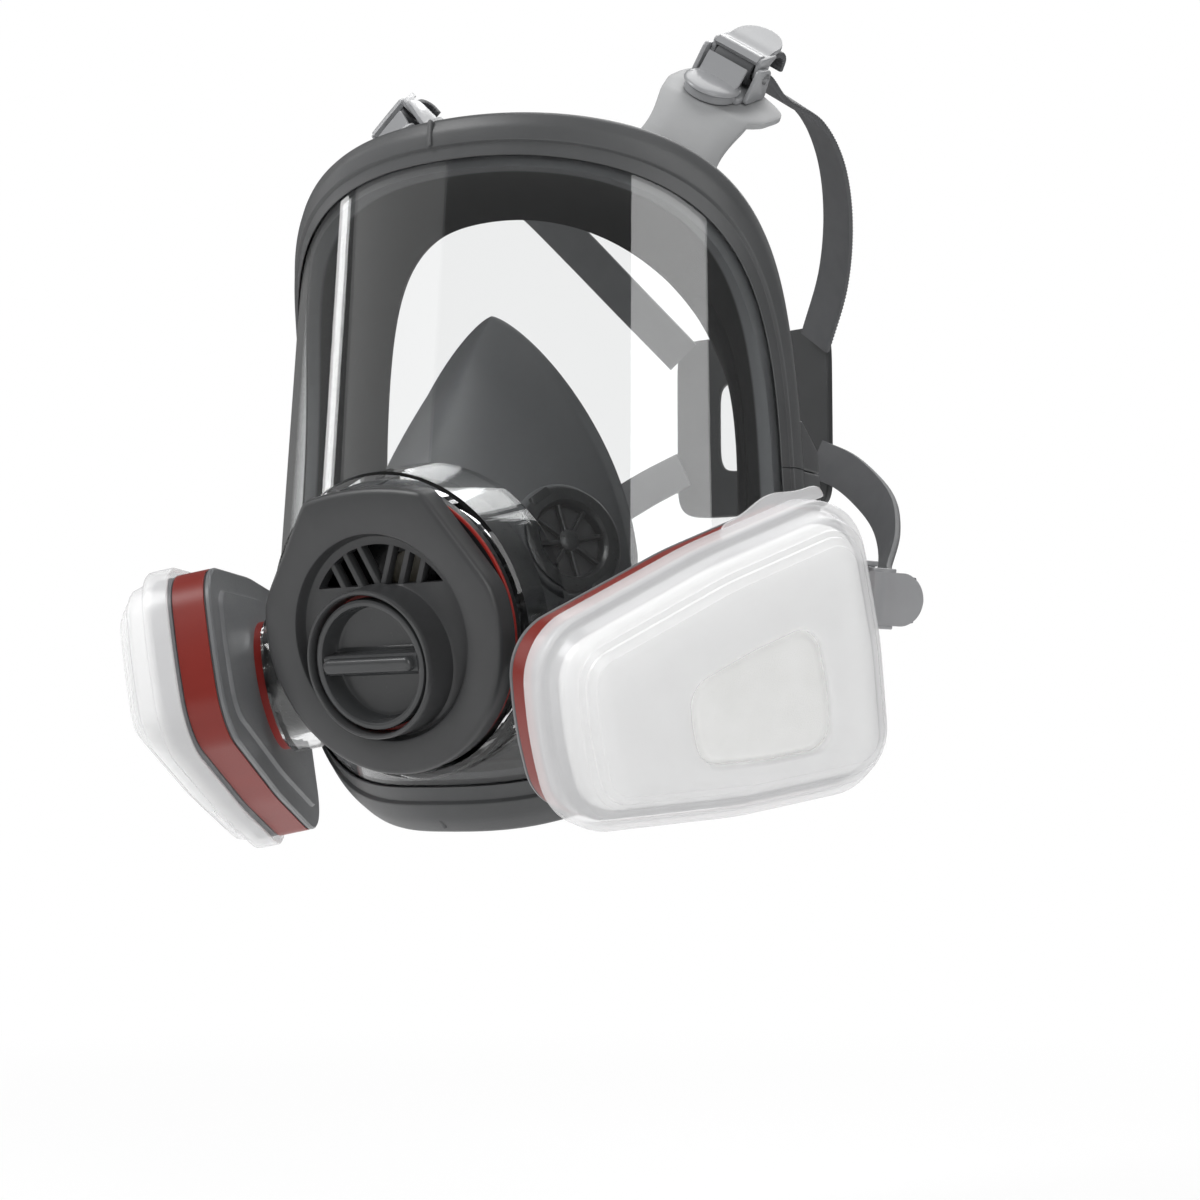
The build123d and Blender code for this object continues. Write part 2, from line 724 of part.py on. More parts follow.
def make_retainer():
    """The clear snap-on lid: a skirt, a steep side, a slanted shoulder and a window."""
    inside = filter_slab(retainer_wall, -retainer_skirt - 1, -retainer_wall)
    skirt = filter_slab(0, -retainer_skirt, 0) - inside
    outer = stepped_form([(retainer_foot, -0.01), (retainer_ledge, retainer_ledge_rise),
                          (retainer_shoulder, retainer_rise)])
    inner = stepped_form([(retainer_foot + retainer_wall, -retainer_wall - 0.01),
                          (retainer_ledge + retainer_wall, retainer_ledge_rise - retainer_wall / 2),
                          (retainer_shoulder + retainer_wall / 2, retainer_rise - retainer_wall)])
    opening = Pos(window_x, window_y) * scale(Pos(-filter_shift, 0) * filter_sketch(), window_share)
    window = extrude(Plane.XY.offset(retainer_ledge_rise) * opening, amount=retainer_rise)
    tab = Pos(tab_x, tab_y, -retainer_skirt + tab_thickness / 2) * Rot(0, 0, tab_turn)
    tab = tab * Box(tab_length, 2 * tab_reach, tab_thickness)
    return skirt + outer - inner - window + (tab - inside)


def make_case():
    """The cartridge's tub with a stepped back and a bayonet socket."""
    tub = filter_slab(case_inset, case_back, case_front)
    tub = tub - filter_slab(case_inset + case_wall, case_back + case_wall, 1)
    step = filter_slab(step_inset, step_back, case_back + 0.5)
    step_hollow = filter_slab(step_inset + case_wall, step_back + case_wall, case_back + case_wall + 0.1)
    socket = rod(bayonet_radius + fit_gap, step_back - 1, 0)
    case = tub + step - step_hollow - socket
    for i in range(3):
        notch = Rot(0, 0, 120 * i + 60) * Pos(bayonet_radius + 0.5, 0, (step_back + case_back) / 2)
        case = case - notch * Box(2 * bayonet_lug + 1.4, 12, 8)
    return case


def make_label():
    outer = filter_slab(case_inset - label_thickness - 0.03, band_back, band_front)
    return outer - filter_slab(case_inset - 0.03, band_back - 1, band_front + 1)


def make_grille():
    """A plate with rows of air slots, set in the tub's mouth."""
    plate = filter_slab(case_inset + case_wall + 0.1, case_front - 2, case_front)
    slots = []
    for row in range(-3, 4):
        for column in range(-2, 3):
            slots.append(Pos(column * 17 + filter_shift, row * 8) * SlotOverall(13, 4))
    field = slots[0]
    for slot in slots[1:]:
        field = field + slot
    field = field & filter_sketch(case_inset + case_wall + 5)
    return plate - extrude(Plane.XY.offset(case_front - 3) * field, amount=4)


def make_bed():
    return filter_slab(case_inset + case_wall + 0.3, bed_back, bed_front)


def make_pad():
    """A thick felt pad that fills the retainer, with a raised middle that shows in its window."""
    side = retainer_ledge + retainer_wall + pad_gap / 2
    top = retainer_shoulder + retainer_wall / 2 + pad_gap / 2
    base = stepped_form([(side - 0.6, case_front + 0.3), (side, pad_ledge), (top, pad_top)])
    share = window_share - 0.03
    middle = Pos(window_x, window_y) * scale(Pos(-filter_shift, 0) * filter_sketch(), share)
    return base + extrude(Plane.XY.offset(pad_top - 1) * middle, amount=pad_rise - pad_top + 1)


def place_filter(shape, turn):
    return port_plane() * Rot(0, 0, turn) * shape


def make_port():
    """A bayonet port: a tube with three lugs, clamped in the visor's boss, with a spider inside."""
    inner = bayonet_radius - bayonet_wall
    port = tube(bayonet_radius, inner, bayonet_back, bayonet_front)
    port = port + tube(boss_radius - 2.5, inner, bayonet_back - 3.4, bayonet_back)
    port = port + Pos(0, 0, bayonet_back) * spoked_ring(inner + 0.5, inner - 1.5, 1.6, 4)
    for i in range(3):
        lug = Pos(0, 0, case_back + case_wall - 0.2) * rod(bayonet_radius + bayonet_lug, 0, 1.8)
        lug = lug - Pos(0, 0, case_back + case_wall - 0.2) * rod(inner, -1, 3)
        wedge = Rot(0, 0, 120 * i) * Pos(bayonet_radius, 0, case_back + case_wall) * Box(9, 11, 6)
        port = port + (lug & wedge)
    return port


def make_port_gasket():
    start = bayonet_seat + 0.05
    return tube(bayonet_radius + 0.15 + gasket_width, bayonet_radius + 0.15, start, step_back - 0.1)


def make_port_flap():
    inner = bayonet_radius - bayonet_wall
    return rod(inner - 0.6, bayonet_back - 0.3 - flap_thickness, bayonet_back - 0.3)


# ---- harness ------------------------------------------------------------------------------
def make_buckle():
    """On a lug's plane: a base that snaps on the button, a pin and a lever over the strap."""
    half = strap_width / 2
    arm_inside = half + strap_slack + 0.3
    ear_inside = arm_inside + lever_thickness + 0.3
    reach = pin_reach + 3
    plate = rod(button_radius + base_rim, 0.2, 0.2 + base_thickness)
    plate = plate + Pos(reach / 2, 0, 0.2 + base_thickness / 2) * Box(reach, 2 * ear_inside, base_thickness)
    base = plate - rod(button_radius + 0.1, -1, pin_height)
    pin_axis = Plane(origin=(pin_reach, 0, pin_height), x_dir=(1, 0, 0), z_dir=(0, 1, 0))
    top = pin_height + pin_radius + 1.6
    lever_low = pin_height + pin_radius + strap_slack + strap_thickness + 0.5
    lever = Pos(pin_reach + lever_length / 2, 0, lever_low + lever_thickness / 2) * Box(
        lever_length, 2 * arm_inside, lever_thickness
    )
    lever = lever + Pos(pin_reach + lever_length, 0, lever_low) * rod(arm_inside, 0, lever_thickness)
    for side in (-1, 1):
        ear = Pos(pin_reach, side * (ear_inside + ear_thickness / 2), top / 2 + 0.1)
        base = base + ear * Box(6, ear_thickness, top - 0.2)
        foot = Pos(pin_reach, side * (ear_inside + ear_thickness / 2), 0.2 + base_thickness / 2)
        base = base + foot * Box(6, ear_thickness + 0.4, base_thickness)
        arm_height = lever_low + lever_thickness - pin_height
        arm = Pos(pin_reach, side * (arm_inside + lever_thickness / 2), pin_height + arm_height / 2 - 1.5)
        lever = lever + arm * Box(7, lever_thickness, arm_height + 3)
    pin = pin_axis * rod(pin_radius, -ear_inside - ear_thickness, ear_inside + ear_thickness)
    base = base - pin_axis * rod(pin_radius + 0.02, -2 * ear_inside, 2 * ear_inside)
    lever = lever - pin_axis * rod(pin_radius + 0.08, -2 * ear_inside, 2 * ear_inside)
    return base, pin, lever


def strap_sections(plane, route):
    """The strap's middle line with its width way: a free tail, a turn round the pin, the run."""
    ring = pin_radius + strap_slack + strap_thickness / 2
    tail = pin_reach + tail_reach
    near = [(tail, pin_height - 3), (tail, pin_height + 0.6)]
    near = near + [(tail - 2.6, pin_height + ring - 0.4), (pin_reach + 7, pin_height + ring)]
    for i in range(5):
        angle = radians(90 + 45 * i)
        near.append((pin_reach + ring * cos(angle), pin_height + ring * sin(angle)))
    near.append((pin_reach + 9, pin_height - ring))
    stations = [(plane.from_local_coords(Vector(x, 0, z)), plane.y_dir) for x, z in near]
    low = Vector(0, rear_pad_y - 60, rear_pad_z)
    end_x = rear_pad_half_width - strap_lap
    for out, y, z in route:
        stations.append((Vector(end_x + (plane.origin.X - end_x) * out, y, z), None))
    ahead = [stations[min(i + 1, len(stations) - 1)][0] - stations[i - 1][0] for i in range(len(stations))]
    filled = []
    for i, (point, wide) in enumerate(stations):
        if wide is None:
            wide = ahead[i].cross(point - low)
            if wide.dot(filled[-1][1]) < 0:
                wide = -wide
        filled.append((point, wide.normalized()))
    return filled


def make_strap(plane, route):
    """A flat strap: a rectangle at each point of its middle line."""
    stations = strap_sections(plane, route)
    sections = []
    for i, (point, wide) in enumerate(stations):
        before = stations[max(i - 1, 0)][0]
        after = stations[min(i + 1, len(stations) - 1)][0]
        ahead = (after - before).normalized()
        across = (wide - ahead * wide.dot(ahead)).normalized()
        thick = ahead.cross(across).normalized() * (strap_thickness / 2)
        across = across * (strap_width / 2)
        corners = [point + across + thick, point - across + thick]
        corners = corners + [point - across - thick, point + across - thick]
        sections.append(Wire.make_polygon(corners, close=True))
    return Solid.make_loft(sections, ruled=True)


def make_rear_pad():
    """A curved plate behind the head that the four straps run to."""
    radius = 95.0
    ring = Circle(radius + rear_pad_thickness) - Circle(radius)
    arc = extrude(Plane.XY.offset(-rear_pad_half_height) * ring, amount=2 * rear_pad_half_height)
    keep = Pos(0, radius, 0) * Box(2 * rear_pad_half_width, 60, 2 * rear_pad_half_height)
    pad = arc & keep
    hole = Pos(0, radius, 0) * Box(2 * rear_pad_half_width - 34, 60, 2 * rear_pad_half_height - 34)
    return Pos(0, rear_pad_y - radius, rear_pad_z) * (pad - hole)


# ---- build --------------------------------------------------------------------------------
def main():
    write("visor", make_visor())
    upper, lower = make_frames()
    write("upper_frame", upper)
    write("lower_frame", lower)
    screws, nuts = make_screws()
    write("frame_screws", screws)
    write("frame_nuts", nuts)

    write("front_cover", make_cover())
    cap, cap_gasket = make_cap()
    write("port_cap", cap)
    write("port_cap_gasket", cap_gasket)
    write("cover_gasket", make_cover_gasket())
    housing, floor_top = make_housing()
    write("valve_housing", housing)
    seat, flap, film, clamp = make_valves(floor_top)
    write("exhalation_valve_seat", seat)
    write("exhalation_valve_flap", flap)
    write("speech_diaphragm", film)
    write("diaphragm_clamp_ring", clamp)

    write("nose_cup", make_cup())
    cheek_seat, cheek_flap = make_cheek_valve()
    port = port_plane() * make_port()
    gasket = port_plane() * make_port_gasket()
    port_flap = port_plane() * make_port_flap()
    for side, flip, turn in (("left", False, filter_turn_left), ("right", True, filter_turn_right)):
        pieces = {
            "nose_cup_valve_seat": cheek_seat,
            "nose_cup_valve_flap": cheek_flap,
            "bayonet_port": port,
            "bayonet_gasket": gasket,
            "inhalation_valve_flap": port_flap,
            "cartridge_case": place_filter(make_case(), turn),
            "cartridge_label_band": place_filter(make_label(), turn),
            "cartridge_grille": place_filter(make_grille(), turn),
            "sorbent_bed": place_filter(make_bed(), turn),
            "prefilter_pad": place_filter(make_pad(), turn),
            "prefilter_retainer": place_filter(make_retainer(), turn),
        }
        for name, shape in pieces.items():
            write(f"{name}_{side}", mirrored(shape) if flip else shape)

    brow_plane = aimed_plane(lug_anchor(brow_root_angles, brow_reach), *brow_look)
    cheek_strap_plane = aimed_plane(lug_anchor(cheek_root_angles, cheek_reach), *cheek_look)
    brow_strap_plane = Plane(brow_plane.location * Location((0, 0, 0), (0, 0, brow_buckle_turn)))
    brow_lug = strap_lug(brow_plane, brow_root_angles)
    cheek_lug = strap_lug(cheek_strap_plane, cheek_root_angles)
    write("face_seal", make_seal([brow_lug, cheek_lug]))
    write("rear_pad", make_rear_pad())
    base, pin, lever = make_buckle()
    places = {"brow": (brow_strap_plane, brow_strap), "cheek": (cheek_strap_plane, cheek_strap)}
    for place, (plane, route) in places.items():
        pieces = {
            "buckle_base": plane * base,
            "buckle_pin": plane * pin,
            "buckle_lever": plane * lever,
            "strap": make_strap(plane, route),
        }
        for name, shape in pieces.items():
            write(f"{place}_{name}_left", shape)
            write(f"{place}_{name}_right", mirrored(shape))


main()
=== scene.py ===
from math import cos, pi, radians, sin, tan

import bmesh
import bpy
import numpy as np
from mathutils import Matrix, Vector, kdtree


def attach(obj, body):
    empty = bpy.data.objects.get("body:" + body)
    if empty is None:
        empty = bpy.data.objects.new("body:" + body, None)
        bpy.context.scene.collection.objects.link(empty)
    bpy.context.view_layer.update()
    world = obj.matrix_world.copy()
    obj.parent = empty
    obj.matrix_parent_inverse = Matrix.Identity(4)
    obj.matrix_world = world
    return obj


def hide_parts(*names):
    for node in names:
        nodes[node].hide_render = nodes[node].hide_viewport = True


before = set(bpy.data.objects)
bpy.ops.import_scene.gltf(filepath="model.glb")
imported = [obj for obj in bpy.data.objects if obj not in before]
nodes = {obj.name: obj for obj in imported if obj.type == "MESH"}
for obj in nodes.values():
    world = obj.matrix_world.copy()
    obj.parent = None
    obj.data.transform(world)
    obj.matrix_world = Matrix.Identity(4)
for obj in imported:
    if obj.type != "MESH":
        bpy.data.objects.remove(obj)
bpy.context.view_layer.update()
scene = bpy.context.scene
print("frame loaded:", len(nodes), "nodes")

# Lengths are in millimetres until a mesh is made; the frame is in metres.
metre = 0.001

cameraPlace = {
    "at": (393.85, -596.22, -101.91),
    "right": (0.85219, 0.52323, 0.0),
    "up": (0.04918, -0.08009, 0.99557),
    "back": (0.52091, -0.84842, -0.09399),
    "lens": 69.0,
    "sensor": 36.0,
}


def makeCamera():
    # its axes are the columns of its matrix, and its place is the last one
    data = bpy.data.cameras.new("camera")
    data.lens = cameraPlace["lens"]
    data.sensor_width = cameraPlace["sensor"]
    data.clip_start = 0.02
    camera = bpy.data.objects.new("camera", data)
    scene.collection.objects.link(camera)
    axes = np.eye(4)
    axes[:3, 0] = cameraPlace["right"]
    axes[:3, 1] = cameraPlace["up"]
    axes[:3, 2] = cameraPlace["back"]
    axes[:3, 3] = np.array(cameraPlace["at"]) * metre
    camera.matrix_world = Matrix(axes.tolist())
    scene.camera = camera


makeCamera()
scene.view_settings.view_transform = "Standard"


def linear(code):
    # sRGB hex to linear: low values divide by 12.92, the rest follow the 2.4 power curve
    channels = np.array([int(code[i:i + 2], 16) for i in (1, 3, 5)]) / 255
    bright = ((channels + 0.055) / 1.055) ** 2.4
    return (*np.where(channels <= 0.04045, channels / 12.92, bright).tolist(), 1.0)


def addNode(tree, kind, settings=None, inputs=None):
    # one node with its settings; an input is a link if it comes from another node, and a value if not
    node = tree.nodes.new(kind)
    for key, value in (settings or {}).items():
        setattr(node, key, value)
    for key, value in (inputs or {}).items():
        if isinstance(value, bpy.types.NodeSocket):
            tree.links.new(value, node.inputs[key])
        else:
            node.inputs[key].default_value = value
    return node


def newMaterial(name):
    # an empty material and its tree
    material = bpy.data.materials.new(name)
    material.use_nodes = True
    material.node_tree.nodes.clear()
    return material, material.node_tree


def gridFaces(rows, columns, closeRows, closeColumns):
    # quads between neighbouring rows and columns of a grid, wrapped round where it is closed
    lastRow = rows if closeRows else rows - 1
    lastColumn = columns if closeColumns else columns - 1
    row, column = np.meshgrid(np.arange(lastRow), np.arange(lastColumn), indexing="ij")
    nextRow = (row + 1) % rows
    nextColumn = (column + 1) % columns
    quads = [row * columns + column, row * columns + nextColumn,
             nextRow * columns + nextColumn, nextRow * columns + column]
    return np.stack([q.ravel() for q in quads], axis=1)


def meshPiece(name, points, faces, material, smoothAngle=35.0, flip=False):
    # flip makes the wearer's right piece from the left one's points
    mesh = bpy.data.meshes.new(name)
    scale = np.array((-metre if flip else metre, metre, metre))
    mesh.from_pydata((np.asarray(points).reshape(-1, 3) * scale).tolist(), [], faces)
    tidy = bmesh.new()
    tidy.from_mesh(mesh)
    bmesh.ops.remove_doubles(tidy, verts=tidy.verts, dist=1e-6)
    bmesh.ops.dissolve_degenerate(tidy, edges=tidy.edges, dist=1e-7)
    bmesh.ops.recalc_face_normals(tidy, faces=tidy.faces)
    tidy.to_mesh(mesh)
    tidy.free()
    piece = bpy.data.objects.new(name, mesh)
    scene.collection.objects.link(piece)
    if material is not None:
        mesh.materials.append(material)
    return smoothen(piece, smoothAngle)


def gridPiece(name, points, material, closeRows=False, closeColumns=True, caps=True, **more):
    # a surface of two parameters: rows of closed loops, with a flat face at each open end
    rows, columns = points.shape[:2]
    faces = gridFaces(rows, columns, closeRows, closeColumns).tolist()
    if caps and not closeRows and closeColumns:
        faces.append(list(range(columns)))
        faces.append(list(range((rows - 1) * columns, rows * columns)))
    return meshPiece(name, points, faces, material, **more)


def joinMeshes(name, pieces, body, replaced):
    # one piece from several: their meshes are appended in order to the first
    whole = pieces[0]
    with bpy.context.temp_override(active_object=whole, selected_editable_objects=pieces):
        bpy.ops.object.join()
    whole.name = name
    whole.data.name = name
    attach(whole, body)
    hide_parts(replaced)


def cutBy(piece, cutter, operation="DIFFERENCE"):
    # a boolean against another mesh, applied at once, and the other mesh is dropped
    modifier = piece.modifiers.new("cut", "BOOLEAN")
    modifier.operation = operation
    modifier.solver = "EXACT"
    modifier.object = cutter
    with bpy.context.temp_override(object=piece, active_object=piece):
        bpy.ops.object.modifier_apply(modifier="cut")
    bpy.data.objects.remove(cutter)
    return piece


def smoothen(piece, angle=35.0):
    # smooth faces, with an edge kept sharp where its faces differ by more than the angle in degrees
    mesh = piece.data
    mesh.polygons.foreach_set("use_smooth", [True] * len(mesh.polygons))
    mesh.set_sharp_from_angle(angle=radians(angle))
    return piece


def unitRows(vectors):
    # each vector over its own length
    return vectors / np.linalg.norm(vectors, axis=-1, keepdims=True)


def planeAxes(origin, xWay, zWay):
    # a plane as its origin and three unit axes; y is z cross x
    z = unitRows(np.array(zWay, float))
    x = np.array(xWay, float)
    x = unitRows(x - z * x.dot(z))
    return np.array(origin, float), x, np.cross(z, x), z


def turned(plane, degreesTurn, shift=(0, 0, 0)):
    # the plane moved by a shift in its own axes, then turned about its z
    origin, x, y, z = plane
    a = radians(degreesTurn)
    place = origin + x * shift[0] + y * shift[1] + z * shift[2]
    return place, x * cos(a) + y * sin(a), y * cos(a) - x * sin(a), z


def onPlane(plane, x, y, z):
    # the origin plus each length along its own axis
    origin, xWay, yWay, zWay = plane
    x, y, z = np.broadcast_arrays(np.asarray(x, float), np.asarray(y, float), np.asarray(z, float))
    return origin + x[..., None] * xWay + y[..., None] * yWay + z[..., None] * zWay


def roundedProfile(corners, radii, steps=4):
    # a polygon with each corner replaced by an arc of a circle tangent to both its sides
    corners = np.array(corners, float)
    count = len(corners)
    radii = np.broadcast_to(np.asarray(radii, float), (count,))
    parts = []
    for i in range(count):
        before = unitRows(corners[i - 1] - corners[i])
        after = unitRows(corners[(i + 1) % count] - corners[i])
        half = np.arccos(np.clip(before.dot(after), -1, 1)) / 2
        radius = radii[i]
        if radius <= 0 or half > pi / 2 - 0.01:
            parts.append(corners[i][None])
            continue
        centre = corners[i] + unitRows(before + after) * radius / sin(half)
        start = corners[i] + before * radius / tan(half) - centre
        end = corners[i] + after * radius / tan(half) - centre
        a = np.arctan2(start[1], start[0])
        sweep = (np.arctan2(end[1], end[0]) - a + pi) % (2 * pi) - pi
        angles = a + sweep * np.linspace(0, 1, steps + 1)
        parts.append(centre + radius * np.stack([np.cos(angles), np.sin(angles)], axis=1))
    return np.concatenate(parts)


def evenLoop(loop, count):
    # a closed loop walked again in even steps
    closed = np.vstack([loop, loop[:1]])
    lengths = np.concatenate([[0], np.cumsum(np.linalg.norm(np.diff(closed, axis=0), axis=1))])
    steps = np.linspace(0, lengths[-1], count, endpoint=False)
    return np.stack([np.interp(steps, lengths, column) for column in closed.T], axis=1)


def insetLoop(loop, inset):
    # each point moved in along the mean normal of its two sides; the loop runs anticlockwise
    along = unitRows(np.roll(loop, -1, axis=0) - np.roll(loop, 1, axis=0))
    return loop + np.stack([-along[:, 1], along[:, 0]], axis=1) * inset


def rowsOn(plane, loop, rows):
    # one outline laid on a plane for each pair of inset and height
    layers = [(insetLoop(loop, inset) if inset else loop, height) for inset, height in rows]
    return [onPlane(plane, layer[:, 0], layer[:, 1], height) for layer, height in layers]


def slabPiece(name, loop, rows, plane, material, **more):
    # a closed solid of those rows, flat at both ends
    return gridPiece(name, np.array(rowsOn(plane, loop, rows)), material, **more)


def edgedRows(low, high, bevel, steps=3):
    # the rows of a plain slab whose top and bottom edges are quarter circles
    turn = np.linspace(0, pi / 2, steps + 1)
    bottom = np.stack([bevel * (1 - np.sin(turn)), low + bevel * (1 - np.cos(turn))], axis=1)
    top = np.stack([bevel * (1 - np.cos(turn)), high - bevel * (1 - np.sin(turn))], axis=1)
    return np.vstack([bottom, top])


def lathePiece(name, profile, plane, material, turns=128, closed=True, **more):
    # a profile of radius and height, turned about the plane's z
    profile = np.array(profile, float)
    angles = np.linspace(0, 2 * pi, turns, endpoint=False)
    x = profile[:, :1] * np.cos(angles)
    y = profile[:, :1] * np.sin(angles)
    points = onPlane(plane, x, y, profile[:, 1:2] + 0 * x)
    return gridPiece(name, points, material, closeRows=closed, **more)


def circleLoop(radius, count, x=0.0, y=0.0):
    # cosine and sine of even turns about a centre
    angles = np.linspace(0, 2 * pi, count, endpoint=False)
    return np.stack([x + radius * np.cos(angles), y + radius * np.sin(angles)], axis=1)


def slotLoop(length, width, steps=32):
    # a straight bar with round ends
    half = length / 2 - width / 2
    ends = np.linspace(-pi / 2, pi / 2, steps)
    right = np.stack([half + width / 2 * np.cos(ends), width / 2 * np.sin(ends)], axis=1)
    return np.vstack([right, -right])


def smoothLine(points, step):
    # a Catmull-Rom curve through the points, with knots at the square root of each chord
    points = np.array(points, float)
    ends = np.vstack([2 * points[0] - points[1], points, 2 * points[-1] - points[-2]])
    chords = np.linalg.norm(np.diff(ends[:, :3], axis=0), axis=1)
    knots = np.concatenate([[0], np.cumsum(chords ** 0.5)])
    pieces = []
    for i in range(1, len(ends) - 2):
        count = max(int(np.ceil((knots[i + 1] - knots[i]) ** 2 / step)), 2)
        t = np.linspace(knots[i], knots[i + 1], count, endpoint=False)[:, None]

        def between(a, b, p, q):
            gap = knots[b] - knots[a]
            return p * (knots[b] - t) / gap + q * (t - knots[a]) / gap

        a1 = between(i - 1, i, ends[i - 1], ends[i])
        a2 = between(i, i + 1, ends[i], ends[i + 1])
        a3 = between(i + 1, i + 2, ends[i + 1], ends[i + 2])
        b1 = between(i - 1, i + 1, a1, a2)
        b2 = between(i, i + 2, a2, a3)
        pieces.append(between(i, i + 1, b1, b2))
    pieces.append(points[-1:])
    return np.vstack(pieces)


# the visor's own surface: widths, heights and depths in mm, wrap in radians
shell = {
    "halfWidth": 91.0, "taper": 0.06, "chinNarrowing": 46.0, "kneeZ": -30.0, "chinPower": 1.6,
    "backY": 5.5, "topY": -49.0, "lean": 0.068, "rollZ": -58.0, "chinY": -38.0, "rollPower": 2.3,
    "pinch": 0.1, "wall": 2.5, "edge": 4.2, "up": 105.7, "down": 105.9, "wrap": radians(95.5),
    "upPower": 2.63, "downPower": 2.9,
}


def halfWidth(z):
    # a straight taper above the knee, and below it a power of the drop is taken off
    drop = np.clip((shell["kneeZ"] - z) / (shell["down"] + shell["kneeZ"]), 0, None)
    straight = shell["halfWidth"] - shell["taper"] * np.maximum(z, shell["kneeZ"])
    return straight - shell["chinNarrowing"] * drop ** shell["chinPower"]


def frontY(z):
    # a straight lean above the roll, and below it a power of the drop takes it to the chin
    lean = shell["topY"] - shell["lean"] * (shell["up"] - np.maximum(z, shell["rollZ"]))
    reach = np.clip((shell["rollZ"] - z) / (shell["down"] + shell["rollZ"]), 0, None)
    return lean + (shell["chinY"] - lean) * reach ** shell["rollPower"]


def shellPoint(turn, z):
    # a slightly pinched ellipse at each height: half width by depth, turned from the front
    held = np.clip(turn, -pi / 2, pi / 2)
    x = halfWidth(z) * np.sin(held) * (1 - shell["pinch"] * np.cos(held) ** 2)
    depth = shell["backY"] - frontY(z)
    y = shell["backY"] - depth * np.cos(turn) * (1 - shell["pinch"] * np.sin(held) ** 2)
    return np.stack([x, y, z + 0 * x], axis=-1)


def shellNormal(turn, z):
    # the cross product of the slopes round and up
    across = shellPoint(turn + 0.03, z) - shellPoint(turn - 0.03, z)
    up = shellPoint(turn, z + 1) - shellPoint(turn, z - 1)
    return unitRows(np.cross(across, up))


def rimTurnHeight(angle, inset=0.0):
    # the rim is a superellipse on the unrolled shell; angle 0 is the top, in radians
    s = np.sin(angle)
    c = np.cos(angle)
    power = np.where(c > 0, shell["upPower"], shell["downPower"])
    reach = np.where(c > 0, shell["up"], shell["down"]) - inset
    wrap = shell["wrap"] - inset / (shell["backY"] - frontY(np.array(0.0)))
    scale = (np.abs(s) ** power + np.abs(c) ** power) ** (-1 / power)
    return wrap * scale * s, reach * scale * c


def rimLay(angle, inset, height):
    # a point told by its inset along the shell from the rim and its height off the shell
    turn, z = rimTurnHeight(angle, inset)
    return shellPoint(turn, z) + shellNormal(turn, z) * np.asarray(height)[..., None]


def rimAngles(first, last, count):
    # angles in degrees between two stations, spaced evenly along the rim
    fine = np.radians(np.linspace(first, last, 1200))
    line = rimLay(fine, 0.0, np.zeros(1200))
    lengths = np.concatenate([[0], np.cumsum(np.linalg.norm(np.diff(line, axis=0), axis=1))])
    return np.interp(np.linspace(0, lengths[-1], count), lengths, fine)


opening = {
    "halfWidth": 68.0, "up": 79.0, "down": 78.0, "power": 2.3, "browY": -14.0, "chinY": 4.0, "templeY": 18.0,
}


def openingPoint(angle):
    # the face opening: a superellipse whose depth follows the brow, the temples and the chin
    s, c = np.sin(angle), np.cos(angle)
    power = opening["power"]
    scale = (np.abs(s) ** power + np.abs(c) ** power) ** (-1 / power)
    middleY = np.where(c > 0, opening["browY"], opening["chinY"])
    y = middleY + (opening["templeY"] - middleY) * (scale * s) ** 2
    z = np.where(c > 0, opening["up"], opening["down"]) * scale * c
    return np.stack([opening["halfWidth"] * scale * s, y, z], axis=-1)


def aimedPlane(origin, yaw, pitch, turn=0.0):
    # a plane that looks out at a yaw from the front and a pitch up, turned about that look
    yaw, pitch = radians(yaw), radians(pitch)
    look = (sin(yaw) * cos(pitch), -cos(yaw) * cos(pitch), sin(pitch))
    return turned(planeAxes(origin, (cos(yaw), sin(yaw), 0), look), turn)


# the planes that the pieces sit on: where, yaw, pitch and turn
coverPlane = aimedPlane((0, -75, -50), 0.0, -14.3)
portPlane = aimedPlane((94.0, -40.6, -65.0), 64.0, -11.5)
cheekPlane = aimedPlane((37.0, -33.0, -22.0), 62.0, 12.0)
browAim = ((59.0, 14.0, 121.5), 52.4, 45.4)
browPlane = aimedPlane(*browAim, 49.5)
browStrapPlane = aimedPlane(*browAim, 37.5)  # the buckle is turned a little on its lug, towards the pad
templePlane = aimedPlane((88.7263, 27.2073, -34.8362), 64.3, -7.7)


